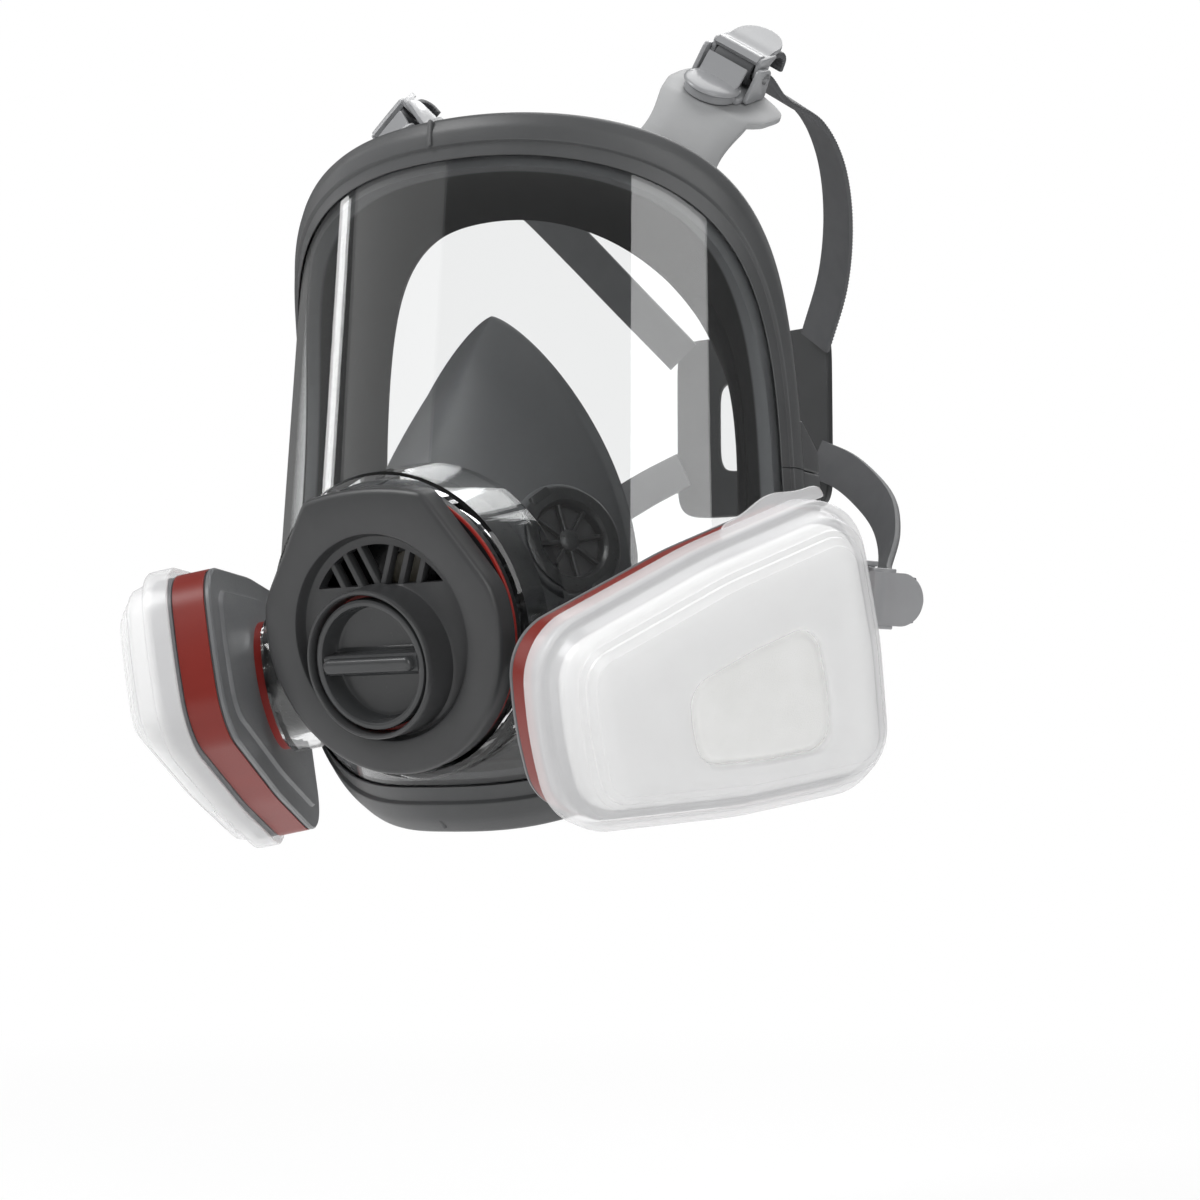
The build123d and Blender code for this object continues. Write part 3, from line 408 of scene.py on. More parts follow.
# base and marks are the two tones of the moulding, which drift over clouds 14 mm wide; grain is the width
# of its texture in mm, drawn coarser than the real 0.1 mm so that it shows, and depth how deep that is
mouldings = {
    # PA6 nylon, injection moulded in a spark-eroded tool: a satin charcoal with a very fine grain
    "mouldedNylonFrame": {"base": "#545556", "marks": "#48494A", "rough": 0.42, "grain": 0.55, "depth": 0.09},
    "mouldedNylonCover": {"base": "#434445", "marks": "#39393A", "rough": 0.38, "grain": 0.45, "depth": 0.06},
    "mouldedNylonCap": {"base": "#424344", "marks": "#3A3B3C", "rough": 0.24, "grain": 0.6, "depth": 0.03},
    "mouldedNylonBlack": {"base": "#1F2021", "marks": "#161718", "rough": 0.3, "grain": 0.6, "depth": 0.05},
    # ABS, injection moulded: a lighter smooth grey
    "mouldedAbsGrey": {"base": "#77787A", "marks": "#6B6C6E", "rough": 0.33, "grain": 0.8, "depth": 0.04},
    # the buckles' own pale grey, lightened further as a painted highlight that stands in for their gloss
    "mouldedAbsBucklePaintedHighlight": {"base": "#A3A4A6", "marks": "#97989A", "rough": 0.2, "grain": 0.9, "depth": 0.03},
    # liquid silicone, compression moulded: matt with a faint bloom
    "mouldedSiliconeSeal": {"base": "#3A3B3C", "marks": "#303132", "rough": 0.45, "grain": 1.0, "depth": 0.04},
    "mouldedSiliconeLug": {"base": "#A9AAAB", "marks": "#9A9B9C", "rough": 0.5, "grain": 1.0, "depth": 0.04},
    "mouldedSiliconeCup": {"base": "#3E3F41", "marks": "#393A3C", "rough": 0.52, "grain": 0.9, "depth": 0.004},
    "mouldedRubberRed": {"base": "#A8251C", "marks": "#8C1D16", "rough": 0.42, "grain": 0.8, "depth": 0.03},
    "mouldedRubberValve": {"base": "#C9C4B4", "marks": "#B8B2A0", "rough": 0.6, "grain": 0.7, "depth": 0.03},
    "mouldedRubberBlack": {"base": "#232324", "marks": "#19191A", "rough": 0.5, "grain": 0.7, "depth": 0.03},
    # coated paper wrapped round the tub: printed in one colour and left bare
    "printedPaperBand": {"base": "#86261C", "marks": "#7A2017", "rough": 0.38, "grain": 0.5, "depth": 0.02},
}


def mouldedFinish(name, spec):
    # clouds mix the two tones; the grain sets the roughness, up to 0.07 either way, and the bump
    material, tree = newMaterial(name)
    place = addNode(tree, "ShaderNodeTexCoord").outputs["Object"]
    cloud = addNode(tree, "ShaderNodeTexNoise", None,
                    {"Vector": place, "Scale": 1 / (14 * metre), "Detail": 3.0, "Roughness": 0.55})
    tone = addNode(tree, "ShaderNodeMix", {"data_type": "RGBA"},
                   {"Factor": cloud.outputs["Fac"], 6: linear(spec["base"]), 7: linear(spec["marks"])})
    grain = addNode(tree, "ShaderNodeTexNoise", None,
                    {"Vector": place, "Scale": 1 / (spec["grain"] * metre), "Detail": 2.0})
    low, high = spec["rough"] - 0.07, spec["rough"] + 0.07
    rough = addNode(tree, "ShaderNodeMapRange", None,
                    {"Value": grain.outputs["Fac"], "To Min": low, "To Max": high})
    bump = addNode(tree, "ShaderNodeBump", None,
                   {"Height": grain.outputs["Fac"], "Strength": 0.35, "Distance": spec["depth"] * metre})
    skin = addNode(tree, "ShaderNodeBsdfPrincipled", None,
                   {"Base Color": tone.outputs[2], "Roughness": rough.outputs["Result"],
                    "Normal": bump.outputs["Normal"], "IOR": 1.5})
    addNode(tree, "ShaderNodeOutputMaterial", None, {"Surface": skin.outputs["BSDF"]})
    return material


def seenDirectly(tree):
    # 1 for the eye and for what it sees through clear plastic, 0 for light that has bounced
    path = addNode(tree, "ShaderNodeLightPath")
    turns = addNode(tree, "ShaderNodeMath", {"operation": "ADD"},
                    {0: path.outputs["Diffuse Depth"], 1: path.outputs["Glossy Depth"]})
    first = addNode(tree, "ShaderNodeMath", {"operation": "LESS_THAN"}, {0: turns.outputs["Value"], 1: 0.5})
    through = addNode(tree, "ShaderNodeMath", {"operation": "MULTIPLY"},
                      {0: path.outputs["Is Transmission Ray"], 1: first.outputs["Value"]})
    return addNode(tree, "ShaderNodeMath", {"operation": "MAXIMUM"},
                   {0: path.outputs["Is Camera Ray"], 1: through.outputs["Value"]}).outputs["Value"]


def letLampsThrough(tree, surface, tint):
    # lamps reach what is behind the wall, which a solid glass would keep dark
    path = addNode(tree, "ShaderNodeLightPath")
    clear = addNode(tree, "ShaderNodeBsdfTransparent", None, {"Color": linear(tint)})
    mix = addNode(tree, "ShaderNodeMixShader", None,
                  {0: path.outputs["Is Shadow Ray"], 1: surface, 2: clear.outputs["BSDF"]})
    addNode(tree, "ShaderNodeOutputMaterial", None, {"Surface": mix.outputs["Shader"]})


def lensFinish():
    # polycarbonate, injection moulded and hard coated: clear, glossy, faint ripples of flow 45 mm wide
    material, tree = newMaterial("hardCoatedPolycarbonate")
    place = addNode(tree, "ShaderNodeTexCoord").outputs["Object"]
    flow = addNode(tree, "ShaderNodeTexNoise", None,
                   {"Vector": place, "Scale": 1 / (45 * metre), "Detail": 1.0})
    bump = addNode(tree, "ShaderNodeBump", None,
                   {"Height": flow.outputs["Fac"], "Strength": 0.12, "Distance": 0.4 * metre})
    skin = addNode(tree, "ShaderNodeBsdfPrincipled", None,
                   {"Base Color": linear("#F6F7F7"), "Roughness": 0.015, "IOR": 1.585,
                    "Transmission Weight": 1.0, "Normal": bump.outputs["Normal"]})
    letLampsThrough(tree, skin.outputs["BSDF"], "#F1F2F2")
    return material


def milkyFinish():
    # polypropylene, thin moulded: clear with a milky haze in patches 25 mm wide and a waxy gloss
    material, tree = newMaterial("thinMouldedPolypropylene")
    place = addNode(tree, "ShaderNodeTexCoord").outputs["Object"]
    haze = addNode(tree, "ShaderNodeTexNoise", None,
                   {"Vector": place, "Scale": 1 / (25 * metre), "Detail": 2.0})
    rough = addNode(tree, "ShaderNodeMapRange", None,
                    {"Value": haze.outputs["Fac"], "To Min": 0.16, "To Max": 0.26})
    skin = addNode(tree, "ShaderNodeBsdfPrincipled", None,
                   {"Base Color": linear("#FCFCFD"), "Roughness": rough.outputs["Result"], "IOR": 1.49,
                    "Coat Weight": 0.4, "Coat Roughness": 0.08})
    clear = addNode(tree, "ShaderNodeBsdfTransparent", None, {"Color": linear("#FDFDFD")})
    thin = addNode(tree, "ShaderNodeMapRange", None,
                   {"Value": haze.outputs["Fac"], "To Min": 0.36, "To Max": 0.42})
    wall = addNode(tree, "ShaderNodeMixShader", None,
                   {0: thin.outputs["Result"], 1: clear.outputs["BSDF"], 2: skin.outputs["BSDF"]})
    letLampsThrough(tree, wall.outputs["Shader"], "#F8F8F8")
    return material


def sealFinish():
    # liquid silicone, compression moulded, with a bloom in patches 9 mm wide; its two tones are painted light:
    # a painted reflection in grey on the clamped flange, and painted shade in near black on its wall
    material, tree = newMaterial("compressionMouldedSilicone")
    uv = addNode(tree, "ShaderNodeUVMap", {"uv_map": "seal"})
    parts = addNode(tree, "ShaderNodeSeparateXYZ", None, {"Vector": uv.outputs["UV"]})
    # painted light by depth: grey up to 0.03 is a painted reflection, near black from 0.1 on is painted shade
    wall = addNode(tree, "ShaderNodeMapRange", {"interpolation_type": "SMOOTHSTEP"},
                   {"Value": parts.outputs["Y"], "From Min": 0.03, "From Max": 0.1})
    tone = addNode(tree, "ShaderNodeMix", {"data_type": "RGBA"},
                   {"Factor": wall.outputs["Result"], 6: linear("#5E5F61"), 7: linear("#121213")})
    place = addNode(tree, "ShaderNodeTexCoord").outputs["Object"]
    bloom = addNode(tree, "ShaderNodeTexNoise", None,
                    {"Vector": place, "Scale": 1 / (9 * metre), "Detail": 3.0})
    rough = addNode(tree, "ShaderNodeMapRange", None,
                    {"Value": bloom.outputs["Fac"], "To Min": 0.52, "To Max": 0.62})
    skin = addNode(tree, "ShaderNodeBsdfPrincipled", None,
                   {"Base Color": tone.outputs[2], "Roughness": rough.outputs["Result"],
                    "Specular IOR Level": 0.15})
    addNode(tree, "ShaderNodeOutputMaterial", None, {"Surface": skin.outputs["BSDF"]})
    return material


def feltFinish():
    # polypropylene felt, needle punched: soft white with crossing fibres, really about 0.3 mm apart and
    # drawn at 0.8 mm because finer ones don't show
    material, tree = newMaterial("needledWhiteFelt")
    place = addNode(tree, "ShaderNodeTexCoord").outputs["Object"]
    fibres = addNode(tree, "ShaderNodeTexNoise", None,
                     {"Vector": place, "Scale": 1 / (0.8 * metre), "Detail": 4.0, "Distortion": 2.5})
    patches = addNode(tree, "ShaderNodeTexNoise", None,
                      {"Vector": place, "Scale": 1 / (9 * metre), "Detail": 2.0})
    tone = addNode(tree, "ShaderNodeMix", {"data_type": "RGBA"},
                   {"Factor": patches.outputs["Fac"], 6: linear("#F7F7F6"), 7: linear("#EDEDEB")})
    bump = addNode(tree, "ShaderNodeBump", None,
                   {"Height": fibres.outputs["Fac"], "Strength": 0.5, "Distance": 0.2 * metre})
    skin = addNode(tree, "ShaderNodeBsdfPrincipled", None,
                   {"Base Color": tone.outputs[2], "Roughness": 0.92, "Normal": bump.outputs["Normal"],
                    "Sheen Weight": 0.3, "Sheen Roughness": 0.5})
    addNode(tree, "ShaderNodeOutputMaterial", None, {"Surface": skin.outputs["BSDF"]})
    return material


def granuleFinish():
    # activated carbon, packed granules about 1.2 mm across: nearly black with small glints, and painted shade
    # between the granules
    material, tree = newMaterial("packedCarbonGranules")
    place = addNode(tree, "ShaderNodeTexCoord").outputs["Object"]
    grit = addNode(tree, "ShaderNodeTexVoronoi", None, {"Vector": place, "Scale": 1 / (1.2 * metre)})
    # each granule is lighter in its middle and darker towards its edge: painted shade between the granules
    tone = addNode(tree, "ShaderNodeMix", {"data_type": "RGBA"},
                   {"Factor": grit.outputs["Distance"], 6: linear("#2A2A2A"), 7: linear("#141414")})
    bump = addNode(tree, "ShaderNodeBump", {"invert": True},
                   {"Height": grit.outputs["Distance"], "Strength": 0.9, "Distance": 0.5 * metre})
    skin = addNode(tree, "ShaderNodeBsdfPrincipled", None,
                   {"Base Color": tone.outputs[2], "Roughness": 0.55, "Normal": bump.outputs["Normal"]})
    addNode(tree, "ShaderNodeOutputMaterial", None, {"Surface": skin.outputs["BSDF"]})
    return material


def strapFinish():
    # EPDM rubber, extruded and toothed by rollers: dull dark grey with chalky patches 6 mm wide
    material, tree = newMaterial("toothedExtrudedRubber")
    place = addNode(tree, "ShaderNodeTexCoord").outputs["Object"]
    dust = addNode(tree, "ShaderNodeTexNoise", None,
                   {"Vector": place, "Scale": 1 / (6 * metre), "Detail": 4.0})
    tone = addNode(tree, "ShaderNodeMix", {"data_type": "RGBA"},
                   {"Factor": dust.outputs["Fac"], 6: linear("#545557"), 7: linear("#48494B")})
    grain = addNode(tree, "ShaderNodeTexNoise", None,
                    {"Vector": place, "Scale": 1 / (0.7 * metre), "Detail": 2.0})
    bump = addNode(tree, "ShaderNodeBump", None,
                   {"Height": grain.outputs["Fac"], "Strength": 0.4, "Distance": 0.05 * metre})
    skin = addNode(tree, "ShaderNodeBsdfPrincipled", None,
                   {"Base Color": tone.outputs[2], "Roughness": 0.6, "Normal": bump.outputs["Normal"]})
    addNode(tree, "ShaderNodeOutputMaterial", None, {"Surface": skin.outputs["BSDF"]})
    return material


def steelFinish():
    # carbon steel, zinc plated and cold headed: pale grey metal with marks drawn 0.6 mm wide to show
    material, tree = newMaterial("zincPlatedSteel")
    place = addNode(tree, "ShaderNodeTexCoord").outputs["Object"]
    marks = addNode(tree, "ShaderNodeTexNoise", None,
                    {"Vector": place, "Scale": 1 / (0.6 * metre), "Detail": 3.0})
    rough = addNode(tree, "ShaderNodeMapRange", None,
                    {"Value": marks.outputs["Fac"], "To Min": 0.22, "To Max": 0.4})
    skin = addNode(tree, "ShaderNodeBsdfPrincipled", None,
                   {"Base Color": linear("#C4C6C8"), "Metallic": 1.0, "Roughness": rough.outputs["Result"]})
    addNode(tree, "ShaderNodeOutputMaterial", None, {"Surface": skin.outputs["BSDF"]})
    return material


def filmFinish():
    # polyimide film, rolled: thin, amber-grey and half see-through, with ripples 3 mm wide
    material, tree = newMaterial("rolledPolyimideFilm")
    place = addNode(tree, "ShaderNodeTexCoord").outputs["Object"]
    ripple = addNode(tree, "ShaderNodeTexNoise", None,
                     {"Vector": place, "Scale": 1 / (3 * metre), "Detail": 2.0})
    bump = addNode(tree, "ShaderNodeBump", None,
                   {"Height": ripple.outputs["Fac"], "Strength": 0.3, "Distance": 0.2 * metre})
    skin = addNode(tree, "ShaderNodeBsdfPrincipled", None,
                   {"Base Color": linear("#6E6A5E"), "Roughness": 0.25, "Transmission Weight": 0.3,
                    "Normal": bump.outputs["Normal"]})
    letLampsThrough(tree, skin.outputs["BSDF"], "#8A8474")
    return material


finishes = {name: mouldedFinish(name, spec) for name, spec in mouldings.items()}
finishes["lens"] = lensFinish()
finishes["milky"] = milkyFinish()
finishes["seal"] = sealFinish()
finishes["felt"] = feltFinish()
finishes["granules"] = granuleFinish()
finishes["strap"] = strapFinish()
finishes["steel"] = steelFinish()
finishes["film"] = filmFinish()
print("finishes made:", len(finishes))


lensShape = {
    "count": 121, "turretRadius": 45.0, "turretWall": 2.3, "turretDepth": 32.0, "turretFront": -8.35,
    "turretRound": 0.8, "bossRadius": 22.0, "bossWall": 4.85, "bossSeat": -24.6, "bossDepth": 17.0,
    "bossRound": 1.2, "boreOut": 9.0,
}


def shellGrid(count, height, edge):
    # a square of two parameters squeezed to a disc, then laid on the shell inside its rim
    u, v = np.meshgrid(np.linspace(-1, 1, count), np.linspace(-1, 1, count), indexing="ij")
    across = u * np.sqrt(1 - v * v / 2)
    up = v * np.sqrt(1 - u * u / 2)
    reach = np.sqrt(across ** 2 + up ** 2)
    blend = np.minimum(reach ** 2, 1)
    edgeTurn, edgeZ = rimTurnHeight(np.arctan2(across, up), edge)
    plainZ = np.where(up > 0, shell["up"], shell["down"]) - edge
    turn = shell["wrap"] * across * (1 - blend) + edgeTurn * reach * blend
    z = plainZ * up * (1 - blend) + edgeZ * reach * blend
    return shellPoint(turn, z) + shellNormal(turn, z) * height


def makeLens():
    # the shell's two skins and its edge, then the turret and the port bosses, then their bores
    spec = lensShape
    count = spec["count"]
    points = np.stack([shellGrid(count, depth, shell["edge"]) for depth in (0.0, -shell["wall"])])
    face = gridFaces(count, count, False, False)
    index = np.arange(count * count).reshape(count, count)
    border = np.concatenate([index[0, :-1], index[:-1, -1], index[-1, :0:-1], index[:0:-1, 0]])
    after = np.roll(border, -1)
    side = np.stack([border, after, after + count ** 2, border + count ** 2], axis=1)
    faces = np.concatenate([face, face[:, ::-1] + count ** 2, side]).tolist()
    lens = meshPiece("clearVisor", points, faces, finishes["lens"])

    radius, soft = spec["turretRadius"], spec["turretRound"]
    front, back = spec["turretFront"], -spec["turretDepth"]
    turret = [(0, back), (radius, back), (radius, front - 1.0), (radius - soft, front), (0, front)]
    cutBy(lens, lathePiece("turret", turret, coverPlane, None, closed=False), "UNION")
    boss, seat, soft = spec["bossRadius"], spec["bossSeat"], spec["bossRound"]
    foot = seat - spec["bossDepth"]
    outline = [(0, foot), (boss, foot), (boss, seat - soft), (boss - soft, seat), (0, seat)]
    for flip in (False, True):
        cutBy(lens, lathePiece("boss", outline, portPlane, None, closed=False, turns=96, flip=flip), "UNION")

    def boreOutline(width, depth):
        out = spec["boreOut"]
        return [(0, depth), (width, depth), (width, out), (0, out)]

    turretBore = boreOutline(radius - spec["turretWall"], back - 30)
    cutBy(lens, lathePiece("bore", turretBore, coverPlane, None, closed=False))
    portBore = boreOutline(boss - spec["bossWall"], seat - 40)
    for flip in (False, True):
        cutBy(lens, lathePiece("bore", portBore, portPlane, None, closed=False, turns=96, flip=flip))
    smoothen(lens, 28)
    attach(lens, "mask")
    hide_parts("visor")


frameShape = {
    # its section: inset from the rim and height off the shell, with a rounding for each corner
    "outline": [(0, -9), (0, 1.3), (4.5, 2.5), (8.8, 2.1), (9.3, 0.95), (13, 0.75), (13, 0.35),
                (3.2, 0.35), (3.2, -9)],
    "rounding": [0.6, 2.0, 6.0, 0.6, 0.3, 0.2, 0.0, 0.0, 0.4],
    "seam": 0.08, "stations": 240,
    "lugReach": 8.5, "lugUp": 15.0, "lugDown": -22.0, "lugThick": 7.0, "proud": 2.2, "lugGap": 0.15,
    "lugFoot": -2.5, "lugShare": 0.45, "lugRounding": (0.8, 0.8, 3.0, 1.0, 0.4), "lugEdge": 0.7,
    # the nubs at the top and the chin: first and last inset, and height; the chin's stays in the outline
    "upperNub": (-9.0, -0.4, 2.95), "lowerNub": (-6.5, -3.0, 2.5), "nubLow": 1.2, "nubHalf": 0.75,
}


def rimPlane(angle):
    # at a station of the rim: x back out of it, z off the shell
    points = rimLay(np.array([angle, angle]), np.array([0.0, 2.0]), np.zeros(2))
    turn, z = rimTurnHeight(np.array([angle]), 2.0)
    return planeAxes(points[0], points[0] - points[1], shellNormal(turn, z)[0])


def makeFrame():
    # each half is a closed profile of inset and height carried along the rim, with lugs and a nub
    spec = frameShape
    material = finishes["mouldedNylonFrame"]
    profile = roundedProfile(spec["outline"], spec["rounding"])
    lugRows = edgedRows(spec["proud"] - spec["lugThick"], spec["proud"], spec["lugEdge"])
    halves = {"upper": (-90, 90, 0.0, spec["lugUp"]), "lower": (90, 270, pi, spec["lugDown"])}
    for half, (start, end, middle, far) in halves.items():
        angles = rimAngles(start + spec["seam"], end - spec["seam"], spec["stations"])
        points = rimLay(angles[:, None], profile[None, :, 0], profile[None, :, 1])
        parts = [gridPiece(half, points, material)]
        near = np.copysign(spec["lugGap"], far)
        foot, reach = spec["lugFoot"], spec["lugReach"]
        corners = [(foot, near), (reach, near), (reach, near + (far - near) * spec["lugShare"]), (-1, far),
                   (foot, far)]
        rounding = spec["lugRounding"]
        if far < 0:
            corners, rounding = corners[::-1], rounding[::-1]
        outline = evenLoop(roundedProfile(corners, rounding), 96)
        for flip in (False, True):
            parts.append(slabPiece("lug", outline, lugRows, rimPlane(pi / 2), material, flip=flip))
        first, last, high = spec[half + "Nub"]
        side = spec["nubHalf"]
        nub = evenLoop(roundedProfile([(first, -side), (last, -side), (last, side), (first, side)], 0.7), 48)
        parts.append(slabPiece("nub", nub, edgedRows(spec["nubLow"], high, 0.35), rimPlane(middle), material))
        joinMeshes(f"{half}FrameBand", parts, "mask", f"{half}_frame")


sealShape = {
    "stations": 260, "browDraw": 0.22, "browSpread": 48.0, "lip": 0.9, "flange": 15.5, "wallSteps": 14,
    "seat": -2.85, "root": -6.0, "rear": -12.4,
    # the wall's middle point as shares of its reach, and how many lips further back the rear one's is
    "bendDeep": 0.3, "bendIn": 0.12, "bendBack": 3.4,
    # the radius kept clear round each port, and from where to where along it
    "portRoom": (22.6, -52.0, -20.0),
}
lugShape = {
    "thick": 2.6, "rows": 22, "crown": 1.0, "waist": 0.8, "button": 6.8, "buttonHeight": 3.0,
    "rootInset": 5.2, "rootDepth": -12.6, "endRows": 26,
    # the two sides of the lug's end, from the straight part to the tip
    "left": [(-8, 13), (-4, 13.7), (1, 14.5), (5, 14.1), (9, 13.4), (12, 12.4), (15, 10.6), (17, 8.6),
             (18.2, 6)],
    "right": [(-8, -17), (-6, -18.8), (-4, -20.2), (0, -21.3), (4, -22.3), (7, -22.4), (10, -20.8),
              (14, -14.6), (18.2, -7)],
    # its section: share across and height over thickness, from the foot of one side round to the other
    "edge": [(0.0, -0.5), (0.0, -0.8), (0.03, -1), (0.5, -1), (0.97, -1), (1, -0.8), (1, -0.5), (1, -0.2),
             (0.97, 0), (0.75, 0.0), (0.5, 0.0), (0.25, 0.0), (0.03, 0), (0, -0.2)],
}


def bezier(start, middle, end, steps):
    # a quadratic curve between two ends, drawn towards its middle point
    t = np.linspace(0, 1, steps)[:, None, None]
    return start * (1 - t) ** 2 + middle * 2 * t * (1 - t) + end * t ** 2


def clearOf(points, plane, room, flip):
    # points inside a round room on a plane are moved straight out to its wall
    radius, low, high = room
    way = np.array((-1.0 if flip else 1.0, 1.0, 1.0))
    origin, x, y, z = plane
    lay = points * way - origin
    u, v, w = lay @ x, lay @ y, lay @ z
    reach = np.maximum(np.hypot(u, v), 1e-6)
    push = np.where((reach < radius) & (w > low) & (w < high), radius / reach - 1, 0.0)
    return points + (u[..., None] * x + v[..., None] * y) * push[..., None] * way


def makeSeal():
    # a closed ring of sections: clamped flange, a wall curved to the lip, and the way back behind it
    spec = sealShape
    angles = rimAngles(0, 360, spec["stations"] + 1)[:-1]

    def lay(inset, height):
        return rimLay(angles, inset, np.full(len(angles), height))

    edge = openingPoint(angles)
    root = lay(spec["flange"], spec["root"])
    # over the brow the lip is drawn back towards the rim
    fromTop = (angles + pi) % (2 * pi) - pi
    brow = np.exp(-(fromTop / radians(spec["browSpread"])) ** 2)[:, None]
    edge = root + (edge - root) * (1 - spec["browDraw"] * brow)
    front = [lay(4.4, -3.4), lay(4.9, spec["seat"]), lay(spec["flange"] - 0.6, spec["seat"]),
             lay(spec["flange"], -3.3)]
    inward = unitRows(edge - root)
    away = unitRows(lay(8, -12) - lay(8, -3))
    across = unitRows(np.cross(np.cross(inward, away), inward)) * spec["lip"]
    reach = np.linalg.norm(edge - root, axis=1, keepdims=True)
    bend = root + away * reach * spec["bendDeep"] + inward * reach * spec["bendIn"]
    wall = bezier(root, bend, edge - across, spec["wallSteps"])
    tip = [edge + inward * spec["lip"] * 0.7, edge + across]
    back = bezier(edge + across, bend + across * spec["bendBack"], lay(4.9, spec["rear"]), spec["wallSteps"])
    rows = front + list(wall) + tip + list(back[1:]) + [lay(4.4, spec["rear"] + 0.6)]
    points = np.stack(rows, axis=1)
    for flip in (False, True):
        points = clearOf(points, portPlane, spec["portRoom"], flip)
    seal = gridPiece("sealRing", points, finishes["seal"], closeRows=True, smoothAngle=50)

    # its UV map: round the ring, then from the clamped flange to the lip, which places the painted reflection
    # and the painted shade
    steps = np.linspace(0, 1, spec["wallSteps"])
    depths = np.concatenate([[0] * len(front), steps, [1] * len(tip), steps[:0:-1], [0]])
    search = kdtree.KDTree(points.shape[0] * points.shape[1])
    for i, point in enumerate(points.reshape(-1, 3)):
        search.insert(point, i)
    search.balance()
    found = np.array([search.find(v.co / metre)[1] for v in seal.data.vertices])
    spots = np.stack([found // points.shape[1] / points.shape[0], depths[found % points.shape[1]]], axis=1)
    order = np.empty(len(seal.data.loops), dtype=np.int32)
    seal.data.loops.foreach_get("vertex_index", order)
    seal.data.uv_layers.new(name="seal").data.foreach_set("uv", spots[order].ravel())
    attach(seal, "mask")
    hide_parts("face_seal")


def evenRows(points, count):
    # an open line taken at even shares of its own stations
    stations = np.linspace(0, 1, len(points))
    return np.stack([np.interp(np.linspace(0, 1, count), stations, column) for column in points.T], axis=1)


def makeLug(name, plane, stations, side):
    # a paddle: rows from a line on the seal to a round end, each a flat rounded strip
    spec = lugShape
    flip = side == "Right"
    inset = spec["rootInset"]
    root = rimLay(np.radians(np.array(stations)), inset, np.full(2, spec["rootDepth"]))
    turn, z = rimTurnHeight(np.radians(np.array([sum(stations) / 2])), inset)
    outward = shellNormal(turn, z)[0]
    ends = []
    for key in ("left", "right"):
        end = smoothLine(np.array([(x, y, 0.0) for x, y in spec[key]]), 1.2)
        end = evenRows(end, spec["endRows"])
        ends.append(onPlane(plane, end[:, 0], end[:, 1], 0.0))
    leftEnd, rightEnd = ends
    if np.linalg.norm(root[0] - leftEnd[0]) > np.linalg.norm(root[1] - leftEnd[0]):
        root = root[::-1]
    share = np.linspace(0, 1, spec["rows"])[:, None]
    ease = share * share * (3 - 2 * share)
    left = root[0] * (1 - share) + leftEnd[0] * share
    right = root[1] * (1 - share) + rightEnd[0] * share
    middle = (left + right) / 2
    waist = 1 - (1 - spec["waist"]) * np.sin(pi * share) ** 1.2
    lift = unitRows(outward * (1 - ease) + plane[3] * ease)
    rise = lift * spec["crown"] * 4 * share * (1 - share)
    left = np.vstack([middle + (left - middle) * waist + rise, leftEnd[1:]])
    right = np.vstack([middle + (right - middle) * waist + rise, rightEnd[1:]])
    lift = np.vstack([lift, np.repeat(plane[3][None], len(leftEnd) - 1, axis=0)])
    edge = np.array(spec["edge"])[None]
    points = (left[:, None] * (1 - edge[..., :1]) + right[:, None] * edge[..., :1]
              + lift[:, None] * edge[..., 1:] * spec["thick"])
    material = finishes["mouldedSiliconeLug"]
    paddle = gridPiece("paddle", points, material, flip=flip, smoothAngle=50)
    radius, high = spec["button"], spec["buttonHeight"]
    profile = [(0, -1), (radius, -1), (radius, 1.6), (radius + 0.3, 2.1), (radius - 0.4, high), (0, high)]
    button = lathePiece("button", profile, plane, material, closed=False, turns=64, flip=flip)
    joinMeshes(name, [paddle, button], "mask", "face_seal")


coverShape = {
    "radius": 41.5, "crown": 41.4, "corner": (21.0, 39.0), "shoulder": 1.45, "thick": 8.0,
    "recess": 29.5, "recessY": -1.5, "recessDepth": 4.0, "vent": 26.5, "sill": 13.0,
    "portY": -8.0, "portOuter": 21.8, "portProud": 7.4, "around": 240,
    "finWidth": 1.8, "finLength": 22.0, "finSpacing": 6.2, "finLean": 24.0, "finUp": 6.0, "fins": 3,
    "firstFin": 0.55, "archFrom": 0.72,
}
capShape = {
    "radius": 18.8, "top": 6.2, "bottom": -2.8, "dish": 16.6, "floor": -0.8, "ridge": 6.0,
    "ridgeLength": 34.0, "barLength": 31.0, "barWidth": 4.4, "barProud": 2.2,
}


def coverLoop(count):
    # polar: a disc below, an arched top between two corners, and slanted shoulders, softly blended
    spec = coverShape
    x, y = spec["corner"]
    crown, far = spec["crown"], 400.0
    angles = np.linspace(0, 2 * pi, count, endpoint=False)
    across, up = np.cos(angles), np.sin(angles)
    slant = (spec["shoulder"] * x + y) / np.maximum(spec["shoulder"] * np.abs(across) + up, 1e-3)
    slant = np.where(slant > 0, np.minimum(slant, far), far)
    # the arched top is a flat parabola through the corners and the crown
    sag = (crown - y) / x ** 2
    arch = (-up + np.sqrt(up ** 2 + 4 * sag * across ** 2 * crown)) / (2 * sag * across ** 2 + 1e-9)
    arch = np.where(np.abs(across) < 1e-4, crown, arch)
    base = np.where(up > spec["archFrom"], arch, spec["radius"])
    blend = 90.0
    radius = (base ** -blend + slant ** -blend) ** (-1 / blend)
    return np.stack([radius * across, radius * up], axis=1)


